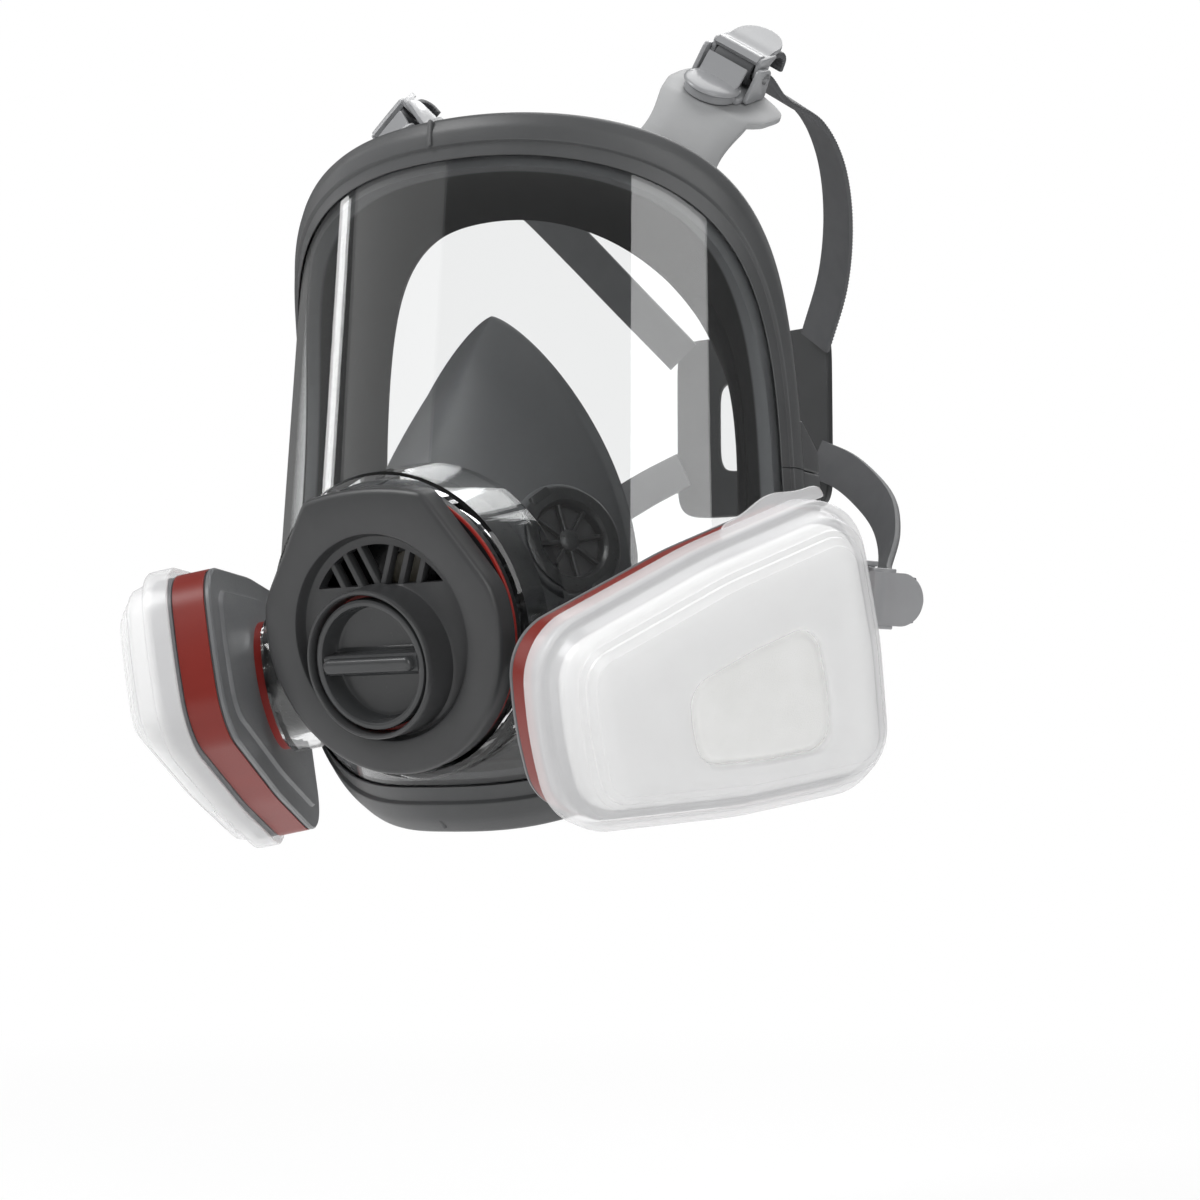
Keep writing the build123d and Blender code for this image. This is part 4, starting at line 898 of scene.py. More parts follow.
def makeCover():
    # rings from the back edge over the rim, down the round recess and up the port wall
    spec = coverShape
    count = spec["around"]
    material = finishes["mouldedNylonCover"]
    outline = coverLoop(count)
    low, floor, recessY = -spec["thick"], -spec["recessDepth"], spec["recessY"]
    rings = [(insetLoop(outline, 0.6), low), (outline, low + 0.7), (outline, -1.9),
             (insetLoop(outline, 0.25), -1.0), (insetLoop(outline, 0.85), -0.35),
             (insetLoop(outline, 1.9), 0.0)]
    recess = [(1.2, 0.0), (0.45, -0.25), (0.0, -1.0), (-0.15, -3.0), (-0.7, -3.8), (-1.5, floor)]
    for wider, height in recess:
        rings.append((circleLoop(spec["recess"] + wider, count, 0, recessY), height))
    proud = spec["portProud"]
    port = [(0.9, floor), (0.15, floor + 0.4), (0.0, floor + 1.2), (-0.3, 5.6), (-0.5, proud - 0.5),
            (-0.9, proud), (-1.4, proud), (-1.75, proud - 0.5), (-1.8, proud - 1.2), (-1.8, low)]
    for wider, height in port:
        rings.append((circleLoop(spec["portOuter"] + wider, count, 0, spec["portY"]), height))
    points = np.array([onPlane(coverPlane, *loop.T, height) for loop, height in rings])
    cover = gridPiece("frontCover", points, material, closeRows=True)

    # the vent: the part of a circle over the sill, cut through, with slanted fins left in it
    sill = spec["sill"]
    arc = circleLoop(spec["vent"], 720, 0, recessY)
    arc = arc[arc[:, 1] > sill]
    vent = evenLoop(arc[np.argsort(np.arctan2(arc[:, 1] - sill, arc[:, 0]))], 128)
    cutBy(cover, slabPiece("vent", vent, [(0, low - 1), (0, -2.5)], coverPlane, None))
    half, long = spec["finWidth"] / 2, spec["finLength"] / 2
    fin = evenLoop(roundedProfile([(-half, -long), (half, -long), (half, long), (-half, long)], 0.3), 40)
    parts = [cover]
    for side in (-1, 1):
        for i in range(spec["fins"]):
            spot = (side * spec["finSpacing"] * (i + spec["firstFin"]), sill + spec["finUp"], 0)
            lean = turned(coverPlane, -side * spec["finLean"], spot)
            bar = slabPiece("fin", fin, edgedRows(-7.4, -4.2, 0.3, 2), lean, material)
            field = slabPiece("ventField", vent, [(-0.6, -9.0), (-0.6, 1.0)], coverPlane, None)
            parts.append(smoothen(cutBy(bar, field, "INTERSECT")))
    smoothen(cover, 32)
    joinMeshes("frontCover", parts, "mask", "front_cover")


def makeCoverGasket():
    # a thin ring that shows as a line between the cover and the clear turret
    inner, outer, low, high = 39.9, 41.0, -9.4, -8.5
    profile = roundedProfile([(inner, low), (outer, low), (outer, high), (inner, high)], 0.3)
    ring = lathePiece("coverGasket", profile, coverPlane, finishes["mouldedRubberRed"], turns=160)
    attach(ring, "mask")
    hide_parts("cover_gasket")


def makeCap():
    # a turned dish, a ridge across its floor and a bar with round ends on the ridge
    spec = capShape
    radius, top, floor, low, dish = (spec[key] for key in ("radius", "top", "floor", "bottom", "dish"))
    place = turned(coverPlane, 0, (0, coverShape["portY"], 0))
    profile = [(0, low), (radius - 0.6, low), (radius, low + 0.6), (radius, top - 0.7),
               (radius - 0.25, top - 0.2), (radius - 0.8, top), (dish + 0.7, top), (dish + 0.2, top - 0.25),
               (dish, top - 0.9), (dish - 0.2, floor + 1.2), (dish - 0.8, floor + 0.3), (dish - 1.8, floor),
               (0, floor)]
    material = finishes["mouldedNylonCap"]
    parts = [lathePiece("cap", profile, place, material, closed=False)]
    long, half = spec["ridgeLength"] / 2, spec["ridge"] / 2
    ridge = evenLoop(roundedProfile([(-long, -half), (long, -half), (long, half), (-long, half)], 0.8), 96)
    rows = [(-1.6, floor - 0.2), (-0.6, floor + 0.3), (0, floor + 1.4), (0.2, top - 1.2), (0.8, top - 0.5)]
    parts.append(slabPiece("ridge", ridge, rows, place, material))
    bar = slotLoop(spec["barLength"], spec["barWidth"])
    high = top + spec["barProud"]
    rows = [(-0.5, top - 1.2), (0, top - 0.6), (0, high - 1.2), (0.25, high - 0.6), (0.8, high - 0.2),
            (1.5, high)]
    parts.append(slabPiece("bar", bar, rows, place, material))
    joinMeshes("twistCap", parts, "port_cap", "port_cap")


cupShape = {
    "front": 30.0, "halfWidth": 46.0, "topZ": 50.0, "bottomZ": -72.0, "topY": -20.0, "bottomY": -8.0,
    "middleZ": -24.0, "wall": 2.2, "rows": 30, "around": 144, "start": -25.35,
    "sharpness": (0.85, 1.5), "bulge": 3.0, "cheekHole": 15.1,
    # how quickly the sides go from full to pointed, how far they are drawn in above, and three powers
    "change": 7.0, "drawIn": 0.12, "heightPower": 1.05, "rowPower": 1.2, "turnPower": 0.8,
}
cheekShape = {"radius": 15.0, "rim": 17.6, "spokes": 8, "firstSpoke": 11, "ears": (125, 305)}


def cupLoops(shrink):
    # rings that turn from the round front to the face's edge as depth goes from 0 to 1
    spec = cupShape
    angles = np.linspace(0, 2 * pi, spec["around"], endpoint=False)
    s, c = np.sin(angles), np.cos(angles)
    ring = spec["front"] - shrink
    near = onPlane(coverPlane, ring * s, ring * c, spec["start"])
    # the sides are full below and run to a point above
    low, high = spec["sharpness"]
    power = low + (high - low) / (1 + np.exp(-c * spec["change"]))
    height = np.where(c > 0, spec["topZ"], spec["bottomZ"]) - np.copysign(shrink, c)
    wide = (spec["halfWidth"] - shrink) * np.abs(s) ** power * (1 - spec["drawIn"] * np.maximum(c, 0))
    z = spec["middleZ"] + (height - spec["middleZ"]) * np.abs(c) ** spec["heightPower"]
    slope = (spec["topY"] - spec["bottomY"]) / (spec["topZ"] - spec["bottomZ"])
    far = np.stack([np.copysign(wide, s), spec["bottomY"] + slope * (z - spec["bottomZ"]), z], axis=1)
    share = (np.linspace(0, 1, spec["rows"]) ** spec["rowPower"])[:, None, None]
    bulge = np.sin(pi * share) * spec["bulge"] * unitRows(far - far.mean(axis=0))
    gone = share ** spec["turnPower"]
    return near * (1 - gone) + far * gone + bulge


def makeCup():
    # outer rings, a rolled lip and inner rings back, then the cheeks' holes and their collars
    outer, inner = cupLoops(0.0), cupLoops(cupShape["wall"])
    out = unitRows(outer[-1] - outer[-1].mean(axis=0))
    back = np.array((0.0, 1.0, 0.1))
    lip = [outer[-1] + out * wide + back * deep for wide, deep in ((1.2, 0.8), (1.6, 1.8), (0.6, 2.4))]
    points = np.concatenate([outer, np.array(lip), inner[::-1]])
    material = finishes["mouldedSiliconeCup"]
    cup = gridPiece("noseCup", points, material, closeRows=True, smoothAngle=60)
    hole = cupShape["cheekHole"]
    for flip in (False, True):
        outline = [(0, -14), (hole, -14), (hole, 14), (0, 14)]
        cutBy(cup, lathePiece("hole", outline, cheekPlane, None, closed=False, flip=flip))
    smoothen(cup, 55)
    rim = cheekShape["rim"]
    collar = [(15.3, -6), (rim + 2.5, -6.5), (rim + 1.6, -4.6), (rim + 0.3, -2.4), (rim, 0.4),
              (rim - 0.5, 1.2), (rim - 1.1, 1.5), (15.6, 1.5), (15.3, 1.1)]
    parts = [cup]
    for flip in (False, True):
        parts.append(lathePiece("collar", collar, cheekPlane, material, flip=flip, smoothAngle=50))
    joinMeshes("noseCup", parts, "mask", "nose_cup")


def makeCheekValve(side):
    # a ring, a hub and eight straight spokes with two ears that lock it in the cup
    flip = side == "Right"
    spec = cheekShape
    radius = spec["radius"]
    material = finishes["mouldedNylonBlack"]
    ring = [(radius - 4, -1.2), (radius, -1.2), (radius, 1.6), (radius + 0.9, 1.9), (radius + 1.1, 2.4),
            (radius + 0.4, 2.8), (radius - 2.8, 2.8), (radius - 3.6, 2.0), (radius - 4, 1.2)]
    parts = [lathePiece("ring", ring, cheekPlane, material, flip=flip)]
    hub = [(0, -0.8), (3.0, -0.8), (3.3, -0.4), (3.3, 1.4), (2.6, 1.9), (0, 2.1)]
    parts.append(lathePiece("hub", hub, cheekPlane, material, closed=False, turns=48, flip=flip))
    start, end, half = 2.6, radius - 3.4, 0.65
    spoke = evenLoop(roundedProfile([(start, -half), (end, -half), (end, half), (start, half)], 0.15), 32)
    for i in range(spec["spokes"]):
        place = turned(cheekPlane, 360 * i / spec["spokes"] + spec["firstSpoke"])
        parts.append(slabPiece("spoke", spoke, edgedRows(-0.6, 1.2, 0.25, 2), place, material, flip=flip))
    start, end = radius - 1, radius + 1.8
    ear = evenLoop(roundedProfile([(start, -4.2), (end, -3.4), (end, 3.4), (start, 4.2)], 0.6), 48)
    for turn in spec["ears"]:
        place = turned(cheekPlane, turn)
        parts.append(slabPiece("ear", ear, edgedRows(0.6, 2.9, 0.3, 2), place, material, flip=flip))
    joinMeshes(f"cheekValveSeat{side}", parts, "mask", f"nose_cup_valve_seat_{side.lower()}")


filterShape = {
    "length": 109.0, "narrow": 27.4, "wide": 45.1, "corner": 19.0, "bulge": 2.5, "sideRadius": 120.0,
    "shift": -3.0, "around": 220, "turnLeft": 17.3, "turnRight": -9.9,
}
caseShape = {
    "inset": 3.0, "wall": 1.8, "front": -2.0, "back": -19.0, "stepInset": 10.0, "stepBack": -22.2,
    "socket": 17.2, "floor": -17.2, "bandFront": -8.75, "bandBack": -18.45, "bandInset": 2.68,
}


def filterLoop():
    # a rounded trapezoid with slightly bulging sides, wide at +x
    spec = filterShape
    half = spec["length"] / 2
    middle = (spec["narrow"] + spec["wide"]) / 2 + spec["bulge"]
    corners = [(-half, -spec["narrow"]), (0, -middle), (half, -spec["wide"]), (half + spec["bulge"], 0),
               (half, spec["wide"]), (0, middle), (-half, spec["narrow"]), (-half - spec["bulge"], 0)]
    loop = roundedProfile(corners, [spec["corner"], spec["sideRadius"]] * 4, 24)
    return evenLoop(loop, spec["around"]) + np.array((spec["shift"], 0))


def makeCartridge(side):
    # a tub from its front edge to the step at its back, the round socket, and the inside of its floor
    flip = side == "Right"
    key = side.lower()
    plane = turned(portPlane, filterShape["turn" + side])
    loop = filterLoop()
    spec = caseShape
    inset, front, back = spec["inset"], spec["front"], spec["back"]
    step, low, socket = spec["stepInset"], spec["stepBack"], spec["socket"]
    tub = [(inset + spec["wall"], front), (inset + 0.4, front), (inset, front - 0.4), (inset, -8.3),
           (inset + 0.45, -8.6), (inset + 0.45, back + 0.4), (inset, back + 0.1), (inset - 0.3, back - 0.1),
           (inset - 0.3, back - 1.0), (inset + 0.2, back - 1.5), (inset + 1.5, back - 1.6),
           (step - 1.2, back - 1.6), (step - 0.2, back - 1.9), (step, low + 0.9), (step + 0.5, low + 0.2),
           (step + 1.6, low)]
    layers = rowsOn(plane, loop, tub)
    angles = np.arctan2(loop[:, 1], loop[:, 0])
    rings = [(socket + 3.5, low), (socket + 2.6, low - 0.6), (socket + 0.8, low - 0.6), (socket, low),
             (socket, spec["floor"])]
    for radius, height in rings:
        layers.append(onPlane(plane, radius * np.cos(angles), radius * np.sin(angles), height))
    layers += rowsOn(plane, loop, [(inset + spec["wall"], spec["floor"])])
    name = f"cartridgeTub{side}"
    tubPiece = gridPiece(name, np.array(layers), finishes["mouldedAbsGrey"], closeRows=True, flip=flip)
    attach(tubPiece, f"cartridge_{key}")
    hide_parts(f"cartridge_case_{key}")
    # the band has soft edges and runs in a shallow channel of the tub
    outside, top, low = spec["bandInset"], spec["bandFront"], spec["bandBack"]
    band = [(2.95, top), (outside, top - 0.15), (outside, low + 0.15), (2.95, low), (3.2, low + 0.15),
            (3.2, top - 0.15)]
    paper = finishes["printedPaperBand"]
    bandPiece = slabPiece(f"labelBand{side}", loop, band, plane, paper, closeRows=True, flip=flip)
    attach(bandPiece, f"cartridge_{key}")
    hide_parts(f"cartridge_label_band_{key}")


retainerShape = {
    "wall": 1.4, "frontWall": 1.3, "skirt": -8.0, "rise": 11.0, "shoulder": 16.5, "rows": 9,
    "windowShare": 0.4, "windowAt": (3.0, -6.0),
    "tabAt": (27.0, 40.5), "tabTurn": 6.6, "tabLength": 36.0, "tabReach": 5.6, "tabThick": 1.2,
}
padShape = {"low": -1.7, "top": 9.0, "rise": 10.3, "share": 0.375, "rows": 10, "shoulder": 16.8, "lip": 10.2}


def windowLoop(share):
    # the cartridge's outline, smaller and moved, with softer corners
    loop = (filterLoop() - np.array((filterShape["shift"], 0))) * share
    return loop + np.array(retainerShape["windowAt"])


def makeRetainer(side):
    # a clear lid: skirt, flange, steep side, slanted shoulder, and a window with a turned-in edge
    flip = side == "Right"
    key = side.lower()
    spec = retainerShape
    plane = turned(portPlane, filterShape["turn" + side])
    loop = filterLoop()
    rise, skirt, wall, edge = spec["rise"], spec["skirt"], spec["wall"], spec["shoulder"]
    under = rise - spec["frontWall"]
    outer = [(0.35, skirt), (0.0, skirt + 0.3), (0.0, -1.9), (0.15, -0.9), (0.6, -0.3), (1.4, -0.05),
             (2.3, 0.0), (2.85, 0.25), (3.2, 0.9), (4.15, 4.2), (4.45, 5.1), (5.1, 5.75), (6.1, 6.3),
             (7.4, 7.0), (7.7, 7.7), (9.2, 8.4), (9.5, 9.1), (11.4, 9.9), (11.7, 10.4), (13.4, 10.8),
             (14.8, rise), (edge, rise)]
    inner = [(edge, under), (14.9, rise - 1.35), (13.7, rise - 1.7), (12.6, rise - 2.3), (6.8, 5.2),
             (6.0, 4.6), (5.7, 4.0), (4.6, 0.4), (4.2, -0.9), (3.6, -1.4), (2.3, -1.5), (1.6, -1.8),
             (wall, -2.4), (wall, skirt + 0.3), (wall - 0.35, skirt)]
    sill = [(-1.6, rise), (-0.9, rise - 0.12), (-0.3, rise - 0.5), (0.0, rise - 1.0), (0.0, rise - 1.9),
            (-0.3, rise - 2.2), (-0.9, rise - 2.2), (-1.3, rise - 1.7), (-1.8, rise - 1.35)]
    # the front between the shoulder and the window: both loops run round together
    hole = windowLoop(spec["windowShare"])
    shoulder = insetLoop(loop, edge)
    between = np.linspace(0, 1, spec["rows"])[1:-1]

    def front(shares, inset, height):
        lays = [shoulder * (1 - share) + insetLoop(hole, inset) * share for share in shares]
        return [onPlane(plane, *lay.T, height) for lay in lays]

    layers = rowsOn(plane, loop, outer) + front(between, sill[0][0], rise) + rowsOn(plane, hole, sill)
    layers += front(between[::-1], sill[-1][0], under) + rowsOn(plane, loop, inner)
    milky = finishes["milky"]
    name = f"filterLid{side}"
    lid = gridPiece(name, np.array(layers), milky, closeRows=True, flip=flip, smoothAngle=40)
    # the pull tab: a fin along the skirt's edge, with a wave in its outer line
    tabPlane = turned(turned(plane, 0, (*spec["tabAt"], 0)), spec["tabTurn"])
    half = spec["tabLength"] / 2
    walk = np.linspace(-half, half, 60)
    swell = np.clip(1 - (walk / half) ** 4, 0, 1) ** 0.5
    reach = spec["tabReach"] * swell * (0.82 + 0.18 * np.cos(walk / half * 1.6 * pi))
    foot = np.stack([walk, np.full(len(walk), -1.2)], axis=1)
    tabLoop = np.concatenate([foot, np.stack([walk, reach], axis=1)[::-1]])
    low = skirt + 0.1
    rows = edgedRows(low, low + spec["tabThick"], 0.3, 2)
    tab = slabPiece("tab", evenLoop(tabLoop, 140), rows, tabPlane, milky, flip=flip)
    joinMeshes(name, [lid, tab], f"retainer_{key}", f"prefilter_retainer_{key}")


def makePad(side):
    # felt that fills the lid and swells through its window: rows from its flat back to its crown
    flip = side == "Right"
    key = side.lower()
    plane = turned(portPlane, filterShape["turn" + side])
    loop = filterLoop()
    spec = padShape
    low, top, lip = spec["low"], spec["top"], spec["lip"]
    edge = [(7.4, low), (6.8, low + 0.4), (6.5, -0.4), (6.6, 1.8), (7.0, 3.4), (7.9, 4.4), (9.4, 5.2),
            (13.2, 7.7), (15.0, 8.7), (spec["shoulder"], top)]
    layers = rowsOn(plane, loop, edge)
    window = windowLoop(spec["share"])
    shoulder = insetLoop(loop, spec["shoulder"])
    foot = insetLoop(window, -1.5)
    for share in np.linspace(0, 1, spec["rows"])[1:]:
        layers.append(onPlane(plane, *(shoulder * (1 - share) + foot * share).T, top))
    layers += rowsOn(plane, window, [(-0.9, 9.1), (-0.4, 9.4), (0.0, 9.8), (0.5, 10.05), (1.4, lip)])
    rim = insetLoop(window, 1.4)
    centre = rim.mean(axis=0)
    for share in np.linspace(1, 0, spec["rows"])[1:]:
        height = lip + (spec["rise"] - lip) * (1 - share ** 2)
        layers.append(onPlane(plane, *(centre + (rim - centre) * share).T, height))
    pad = gridPiece(f"feltPad{side}", np.array(layers), finishes["felt"], flip=flip, smoothAngle=60)
    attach(pad, f"retainer_{key}")
    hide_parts(f"prefilter_pad_{key}")


strapShape = {
    "width": 14.0, "thick": 2.2, "tail": 17.0, "slack": 0.3, "tooth": 1.5, "toothDeep": 0.35,
    "pinX": 12.0, "pinZ": 7.6, "pinRadius": 2.0, "endX": 27.5, "faceFrom": 60.0,
}
rearPadShape = {
    "radius": 95.0, "thick": 3.0, "y": 158.0, "z": 44.0, "half": (32.0, 34.0), "window": (15.0, 17.0),
    "power": 9, "windowPower": 6,
}
# the middle of each strap from its buckle to the pad: share of the way out to the button, y and z
strapRoutes = {
    "brow": [(1.067, 52, 132), (1.13, 75, 130), (1.033, 97, 122), (0.806, 118, 108), (0.451, 137, 90),
             (0.0, 151, 71)],
    "cheek": [(0.985, 72, -27), (0.862, 97, -14), (0.679, 119, 0), (0.435, 138, 12), (0.206, 147.5, 22),
              (0.0, 151, 28)],
}


def strapStations(plane, route):
    # the middle line and its width way: free tail, turn round the pin, run to the pad
    spec = strapShape
    pinX, pinZ, endX = spec["pinX"], spec["pinZ"], spec["endX"]
    ring = spec["pinRadius"] + spec["slack"] + spec["thick"] / 2
    tail = pinX + spec["tail"]
    near = [(tail, pinZ - 3), (tail, pinZ + 0.6), (tail - 2.6, pinZ + ring - 0.4), (pinX + 7, pinZ + ring)]
    for turn in np.radians(90 + 45 * np.arange(5)):
        near.append((pinX + ring * np.cos(turn), pinZ + ring * np.sin(turn)))
    near = np.array(near + [(pinX + 9, pinZ - ring)])
    points = list(onPlane(plane, near[:, 0], 0.0, near[:, 1]))
    wide = [plane[2]] * len(points)
    points += [np.array((endX + (plane[0][0] - endX) * out, y, z)) for out, y, z in route]
    # on the head the strap lies flat, square to the way out from a point in front of the rear pad
    inside = np.array((0.0, rearPadShape["y"] - spec["faceFrom"], rearPadShape["z"]))
    for i in range(len(wide), len(points)):
        ahead = points[min(i + 1, len(points) - 1)] - points[i - 1]
        across = unitRows(np.cross(ahead, points[i] - inside))
        wide.append(across if across.dot(wide[-1]) > 0 else -across)
    return np.hstack([np.array(points), np.array(wide)])


def makeStrap(place, plane, side):
    # a rounded strip carried along its line, with square-ish teeth on one face
    spec = strapShape
    line = smoothLine(strapStations(plane, strapRoutes[place]), spec["tooth"] / 4)
    points, wide = line[:, :3], line[:, 3:]
    ahead = unitRows(np.gradient(points, axis=0))
    across = unitRows(wide - ahead * np.sum(wide * ahead, axis=1, keepdims=True))
    thick = np.cross(ahead, across)
    length = np.concatenate([[0], np.cumsum(np.linalg.norm(np.diff(points, axis=0), axis=1))])
    wave = np.clip(np.abs((length / spec["tooth"]) % 1 * 2 - 1) * 2 - 0.5, 0, 1)
    half, rise = spec["width"] / 2, spec["thick"] / 2
    section = roundedProfile([(-half, -rise), (half, -rise), (half, rise), (-half, rise)], 0.5, 2)
    toothed = section[:, 1] - wave[:, None] * spec["toothDeep"] * (section[:, 1] > 0)
    loops = points[:, None] + across[:, None] * section[None, :, :1] + thick[:, None] * toothed[..., None]
    flip = side == "Right"
    strap = gridPiece(f"{place}Strap{side}", loops, finishes["strap"], flip=flip, smoothAngle=30)
    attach(strap, "mask")
    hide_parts(f"{place}_strap_{side.lower()}")
    return length[-1]


buckleShape = {
    "disc": 9.2, "button": 6.8, "ear": 9.5, "earThick": 1.6, "plateTop": 2.4, "plate": (1.0, 15.0),
    "arm": 7.6, "leverLow": 12.6, "leverThick": 1.6, "leverStart": 8.4, "leverEnd": 20.0,
    # the web that rises from the dome: x and height of its top, with its half widths
    "web": [(1.2, 4.5), (2.2, 4.95), (3.0, 5.9), (4.7, 9.6), (5.2, 10.5)],
    "webWidths": [7.2, 7.3, 7.4, 7.4, 7.3], "webThick": 1.1,
    # side views about the pin, as distances along the lug and heights, with a rounding for each corner
    "earOutline": [(-8.4, 0.3), (3.2, 0.3), (2.7, 10.2), (-4.6, 11.2)], "earRounding": [1.0, 1.0, 2.6, 1.6],
    # the lever's top: where its valley is, how deep and how wide, how its front edge drops in the same
    # way, and where its tab tips up, over what length, how high and by what power
    "valley": (14.5, 0.8, 2.4), "nose": (1.6, 1.0), "tip": (16, 12, 1.6, 1.4),
}


def bentStrip(name, line, thick, halfWidths, plane, material, flip):
    # a strip across the plane's y: a line of x and z, each with its half width, thickened downwards
    line = np.array(line, float)
    ahead = unitRows(np.gradient(line, axis=0))
    down = np.stack([ahead[:, 1], -ahead[:, 0]], axis=1) * thick
    ring = np.array([(-1, 0.2), (-0.985, 0.0), (-0.6, -0.03), (0, -0.05), (0.6, -0.03), (0.985, 0.0),
                     (1, 0.2), (1, 0.8), (0.985, 1.0), (0, 1.0), (-0.985, 1.0), (-1, 0.8)])
    places = line[:, None] + down[:, None] * ring[None, :, 1:2]
    across = np.array(halfWidths, float)[:, None] * ring[None, :, 0]
    loops = onPlane(plane, places[..., 0], across, places[..., 1])
    return gridPiece(name, loops, material, flip=flip, smoothAngle=50)


def sidePlate(name, outline, rows, plane, x, y, material, flip):
    # an outline seen from the buckle's side, standing at x and y of its plane
    upright = planeAxes(onPlane(plane, x, y, 0.0), plane[1], -plane[2])
    return slabPiece(name, outline, rows, upright, material, flip=flip)


def makeBuckleBase(place, plane, side):
    # a dome over the lug's button, a web to the crest, a plate under the strap and two ears for the pin
    spec = buckleShape
    flip = side == "Right"
    material = finishes["mouldedAbsBucklePaintedHighlight"]
    disc, button, ear = spec["disc"], spec["button"], spec["ear"]
    dome = [(0, 3.1), (disc - 0.3, 3.1), (disc, 3.4), (disc - 0.1, 3.9), (disc - 0.7, 4.3), (disc - 2.4, 4.7),
            (disc - 5.0, 4.95), (0, 5.05)]
    inner, outer = button + 0.2, disc - 0.7
    collar = [(inner, 0.25), (outer - 0.5, 0.25), (outer, 0.7), (outer, 3.3), (inner, 3.3)]
    parts = [lathePiece("dome", dome, plane, material, closed=False, flip=flip, smoothAngle=50),
             lathePiece("collar", collar, plane, material, flip=flip),
             bentStrip("web", spec["web"], spec["webThick"], spec["webWidths"], plane, material, flip)]
    start, end = spec["plate"]
    plate = evenLoop(roundedProfile([(start, -ear), (end, -ear), (end, ear), (start, ear)], 1.2), 96)
    rows = edgedRows(0.2, spec["plateTop"], 0.4, 2)
    parts.append(slabPiece("plate", plate, rows, plane, material, flip=flip))
    half = spec["earThick"] / 2
    outline = evenLoop(roundedProfile(spec["earOutline"], spec["earRounding"]), 64)
    for way in (-1, 1):
        parts.append(sidePlate("ear", outline, edgedRows(-half, half, 0.4, 2), plane, strapShape["pinX"],
                               way * (ear + half), material, flip))
    node = f"{place}_buckle_base_{side.lower()}"
    joinMeshes(f"{place}BuckleBase{side}", parts, "mask", node)


def makeBuckleLever(place, plane, side):
    # a bent strip with a round end, and an arm down each side to the pin
    spec = buckleShape
    flip = side == "Right"
    key = side.lower()
    material = finishes["mouldedAbsBucklePaintedHighlight"]
    arm, thick, start, end = (spec[name] for name in ("arm", "leverThick", "leverStart", "leverEnd"))
    high = spec["leverLow"] + thick
    xs = np.concatenate([np.linspace(start, end, 24), end + arm * np.sin(np.linspace(0, pi / 2, 14))[1:]])
    # the crest rolls into a shallow valley, then the tab tips up towards its end
    valley, deep, wide = spec["valley"]
    tip, over, tall, power = spec["tip"]
    drop, edge = spec["nose"]
    dip = -deep * np.exp(-((xs - valley) / wide) ** 2) + tall * np.clip((xs - tip) / over, 0, 1) ** power
    nose = -drop * np.exp(-((xs - start) / edge) ** 2)
    beyond = np.clip((xs - end) / arm, 0, 0.998)
    widths = (arm + 0.5) * np.sqrt(1 - beyond ** 2)
    line = np.stack([xs, high + dip + nose], axis=1)
    parts = [bentStrip("lever", line, thick, widths, plane, material, flip)]
    half = thick / 2 - 0.05
    corners = [(9.0, 5.7), (15.2, 5.7), (15.8, 10.4), (19.5, high - 0.7), (9.2, high - 0.7)]
    outline = evenLoop(roundedProfile(corners, [2.2, 2.2, 2.0, 0.6, 1.0]), 72)
    for way in (-1, 1):
        parts.append(sidePlate("arm", outline, edgedRows(-half, half, 0.35, 2), plane, 0.0,
                               way * (arm + thick / 2), material, flip))
    joinMeshes(f"{place}BuckleLever{side}", parts, f"{place}_lever_{key}", f"{place}_buckle_lever_{key}")


def makeRearPad():
    # two rounded rectangles, outer and inner, wrapped on a cylinder behind the head
    spec = rearPadShape
    angles = np.linspace(0, 2 * pi, 200, endpoint=False)
    c, s = np.cos(angles), np.sin(angles)

    def rounded(half, power):
        # a superellipse of the two half sizes
        scale = (np.abs(c) ** power + np.abs(s) ** power) ** (-1 / power)
        return np.stack([half[0] * scale * c, half[1] * scale * s], axis=1)

    outer, inner = rounded(spec["half"], spec["power"]), rounded(spec["window"], spec["windowPower"])
    thick, radius = spec["thick"], spec["radius"]
    low, soft, groove = 0.5, thick - 0.7, thick - 0.3
    rows = [(outer, 0.0, low), (outer, 0.0, soft), (outer, 0.25, thick - 0.25), (outer, 0.9, thick),
            (outer, 2.6, thick), (outer, 3.0, groove), (outer, 4.2, groove), (outer, 4.6, thick),
            (inner, -1.2, thick), (inner, -0.3, thick - 0.25), (inner, 0.0, soft), (inner, 0.0, low),
            (inner, -0.5, 0.05), (outer, 0.5, 0.05)]
    layers = []
    for loop, inset, height in rows:
        lay = insetLoop(loop, inset)
        turn = lay[:, 0] / radius
        reach = radius + height
        layers.append(np.stack([reach * np.sin(turn), spec["y"] - radius + reach * np.cos(turn),
                                spec["z"] + lay[:, 1]], axis=1))
    pad = gridPiece("rearPad", np.array(layers), finishes["mouldedSiliconeSeal"], closeRows=True)
    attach(pad, "mask")
    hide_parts("rear_pad")


# finishes of the pieces that keep their CAD shape
keptFinishes = {
    "steel": ["frame_screws", "frame_nuts", "brow_buckle_pin", "cheek_buckle_pin"],
    "mouldedRubberRed": ["port_cap_gasket", "bayonet_gasket"],
    "mouldedNylonBlack": ["valve_housing", "exhalation_valve_seat", "diaphragm_clamp_ring", "bayonet_port"],
    "mouldedRubberBlack": ["exhalation_valve_flap", "nose_cup_valve_flap"],
    "mouldedRubberValve": ["inhalation_valve_flap"],
    "film": ["speech_diaphragm"],
    "mouldedAbsGrey": ["cartridge_grille"],
    "granules": ["sorbent_bed"],
}


def finishKept():
    # a node's left and right pieces share its finish
    for finish, names in keptFinishes.items():
        for name in names:
            for node in (name, f"{name}_left", f"{name}_right"):
                if node in nodes:
                    slots = nodes[node].data.materials
                    slots.clear()
                    slots.append(finishes[finish])


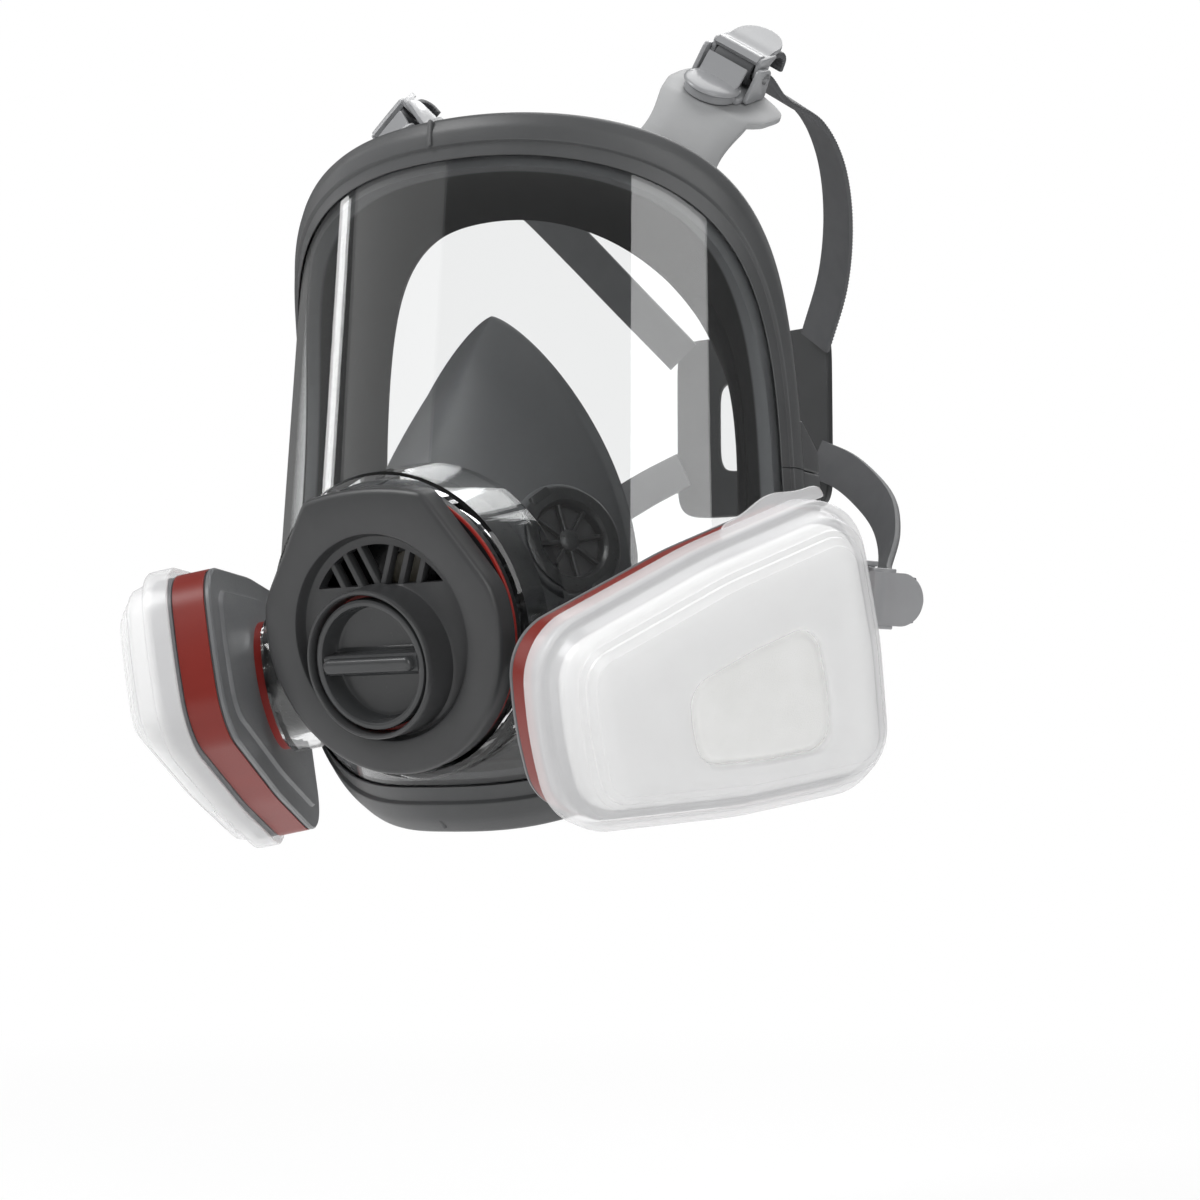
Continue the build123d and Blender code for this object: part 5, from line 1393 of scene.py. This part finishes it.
makeLens()
makeFrame()
makeSeal()
for side in ("Left", "Right"):
    makeLug(f"browLug{side}", browPlane, (25, 44), side)
    makeLug(f"cheekLug{side}", templePlane, (102, 119), side)
print("shell, frame and seal made")
makeCover()
makeCoverGasket()
makeCap()
makeCup()
for side in ("Left", "Right"):
    makeCheekValve(side)
    makeCartridge(side)
    makeRetainer(side)
    makePad(side)
print("cover, cup and cartridges made")
for side in ("Left", "Right"):
    for place, plane in (("brow", browStrapPlane), ("cheek", templePlane)):
        length = makeStrap(place, plane, side)
        makeBuckleBase(place, plane, side)
        makeBuckleLever(place, plane, side)
        print(f"{place} strap, {side}: {length:.0f} mm long")
makeRearPad()
finishKept()
print("harness made")

# in metres: the floor fades to plain white between the two distances
stageShape = {"floorZ": -0.262, "size": 60.0, "floor": "#F4F4F4", "fadeFrom": 0.25, "fadeTo": 1.1}


def makeFloor():
    # matt paper that fades to plain white away from the object, for the eye and for reflections only
    spec = stageShape
    data = bpy.data.meshes.new("floor")
    half = spec["size"] / 2
    corners = [(-half, -half, 0), (half, -half, 0), (half, half, 0), (-half, half, 0)]
    data.from_pydata(corners, [], [(0, 1, 2, 3)])
    floor = bpy.data.objects.new("floor", data)
    floor.location = (0, 0, spec["floorZ"])
    scene.collection.objects.link(floor)
    material, tree = newMaterial("mattWhitePaper")
    place = addNode(tree, "ShaderNodeTexCoord").outputs["Object"]
    distance = addNode(tree, "ShaderNodeVectorMath", {"operation": "LENGTH"}, {0: place})
    fade = addNode(tree, "ShaderNodeMapRange", {"interpolation_type": "SMOOTHSTEP"},
                   {"Value": distance.outputs["Value"], "From Min": spec["fadeFrom"],
                    "From Max": spec["fadeTo"], "To Min": 0.55, "To Max": 1.0})
    share = addNode(tree, "ShaderNodeMath", {"operation": "MULTIPLY"},
                    {0: seenDirectly(tree), 1: fade.outputs["Result"]})
    diffuse = addNode(tree, "ShaderNodeBsdfDiffuse", None, {"Color": linear(spec["floor"])})
    white = addNode(tree, "ShaderNodeEmission", None, {"Color": linear("#FFFFFF"), "Strength": 1.0})
    mix = addNode(tree, "ShaderNodeMixShader", None,
                  {0: share.outputs["Value"], 1: diffuse.outputs["BSDF"], 2: white.outputs["Emission"]})
    addNode(tree, "ShaderNodeOutputMaterial", None, {"Surface": mix.outputs["Shader"]})
    data.materials.append(material)


lamps = [
    # where it stands, how wide and tall, and its power in watts
    {"name": "keyLamp", "at": (-0.75, -1.25, 1.35), "size": (0.9, 0.9), "power": 20.0},
    {"name": "leftSheet", "at": (-1.2, -0.85, 0.55), "size": (1.3, 1.0), "power": 2.0},
    {"name": "rightSheet", "at": (1.22, -0.95, 0.5), "size": (0.8, 1.1), "power": 7.5},
    {"name": "leftStrip", "at": (-1.6, -0.12, 0.4), "size": (0.14, 1.5), "power": 2.6},
    {"name": "topLamp", "at": (0.15, 0.45, 1.6), "size": (1.3, 1.3), "power": 15.0},
    {"name": "backLamp", "at": (0.05, 1.25, 1.15), "size": (1.3, 0.8), "power": 9.0},
]
worldStrength = 0.17


def makeLights():
    # soft rectangles aimed at the middle, in a world that lights softly and looks white
    for lamp in lamps:
        data = bpy.data.lights.new(lamp["name"], "AREA")
        data.shape = "RECTANGLE"
        data.size, data.size_y = lamp["size"]
        data.energy = lamp["power"]
        light = bpy.data.objects.new(lamp["name"], data)
        light.location = lamp["at"]
        light.rotation_euler = (-Vector(lamp["at"])).to_track_quat("-Z", "Y").to_euler()
        scene.collection.objects.link(light)
    world = bpy.data.worlds.new("studio")
    scene.world = world
    world.use_nodes = True
    tree = world.node_tree
    tree.nodes.clear()
    white = linear("#FFFFFF")
    soft, bright = [addNode(tree, "ShaderNodeBackground", None, {"Color": white, "Strength": strength})
                    for strength in (worldStrength, 1.0)]
    mix = addNode(tree, "ShaderNodeMixShader", None,
                  {0: seenDirectly(tree), 1: soft.outputs["Background"], 2: bright.outputs["Background"]})
    addNode(tree, "ShaderNodeOutputWorld", None, {"Surface": mix.outputs["Shader"]})


makeFloor()
makeLights()
print("scene made")
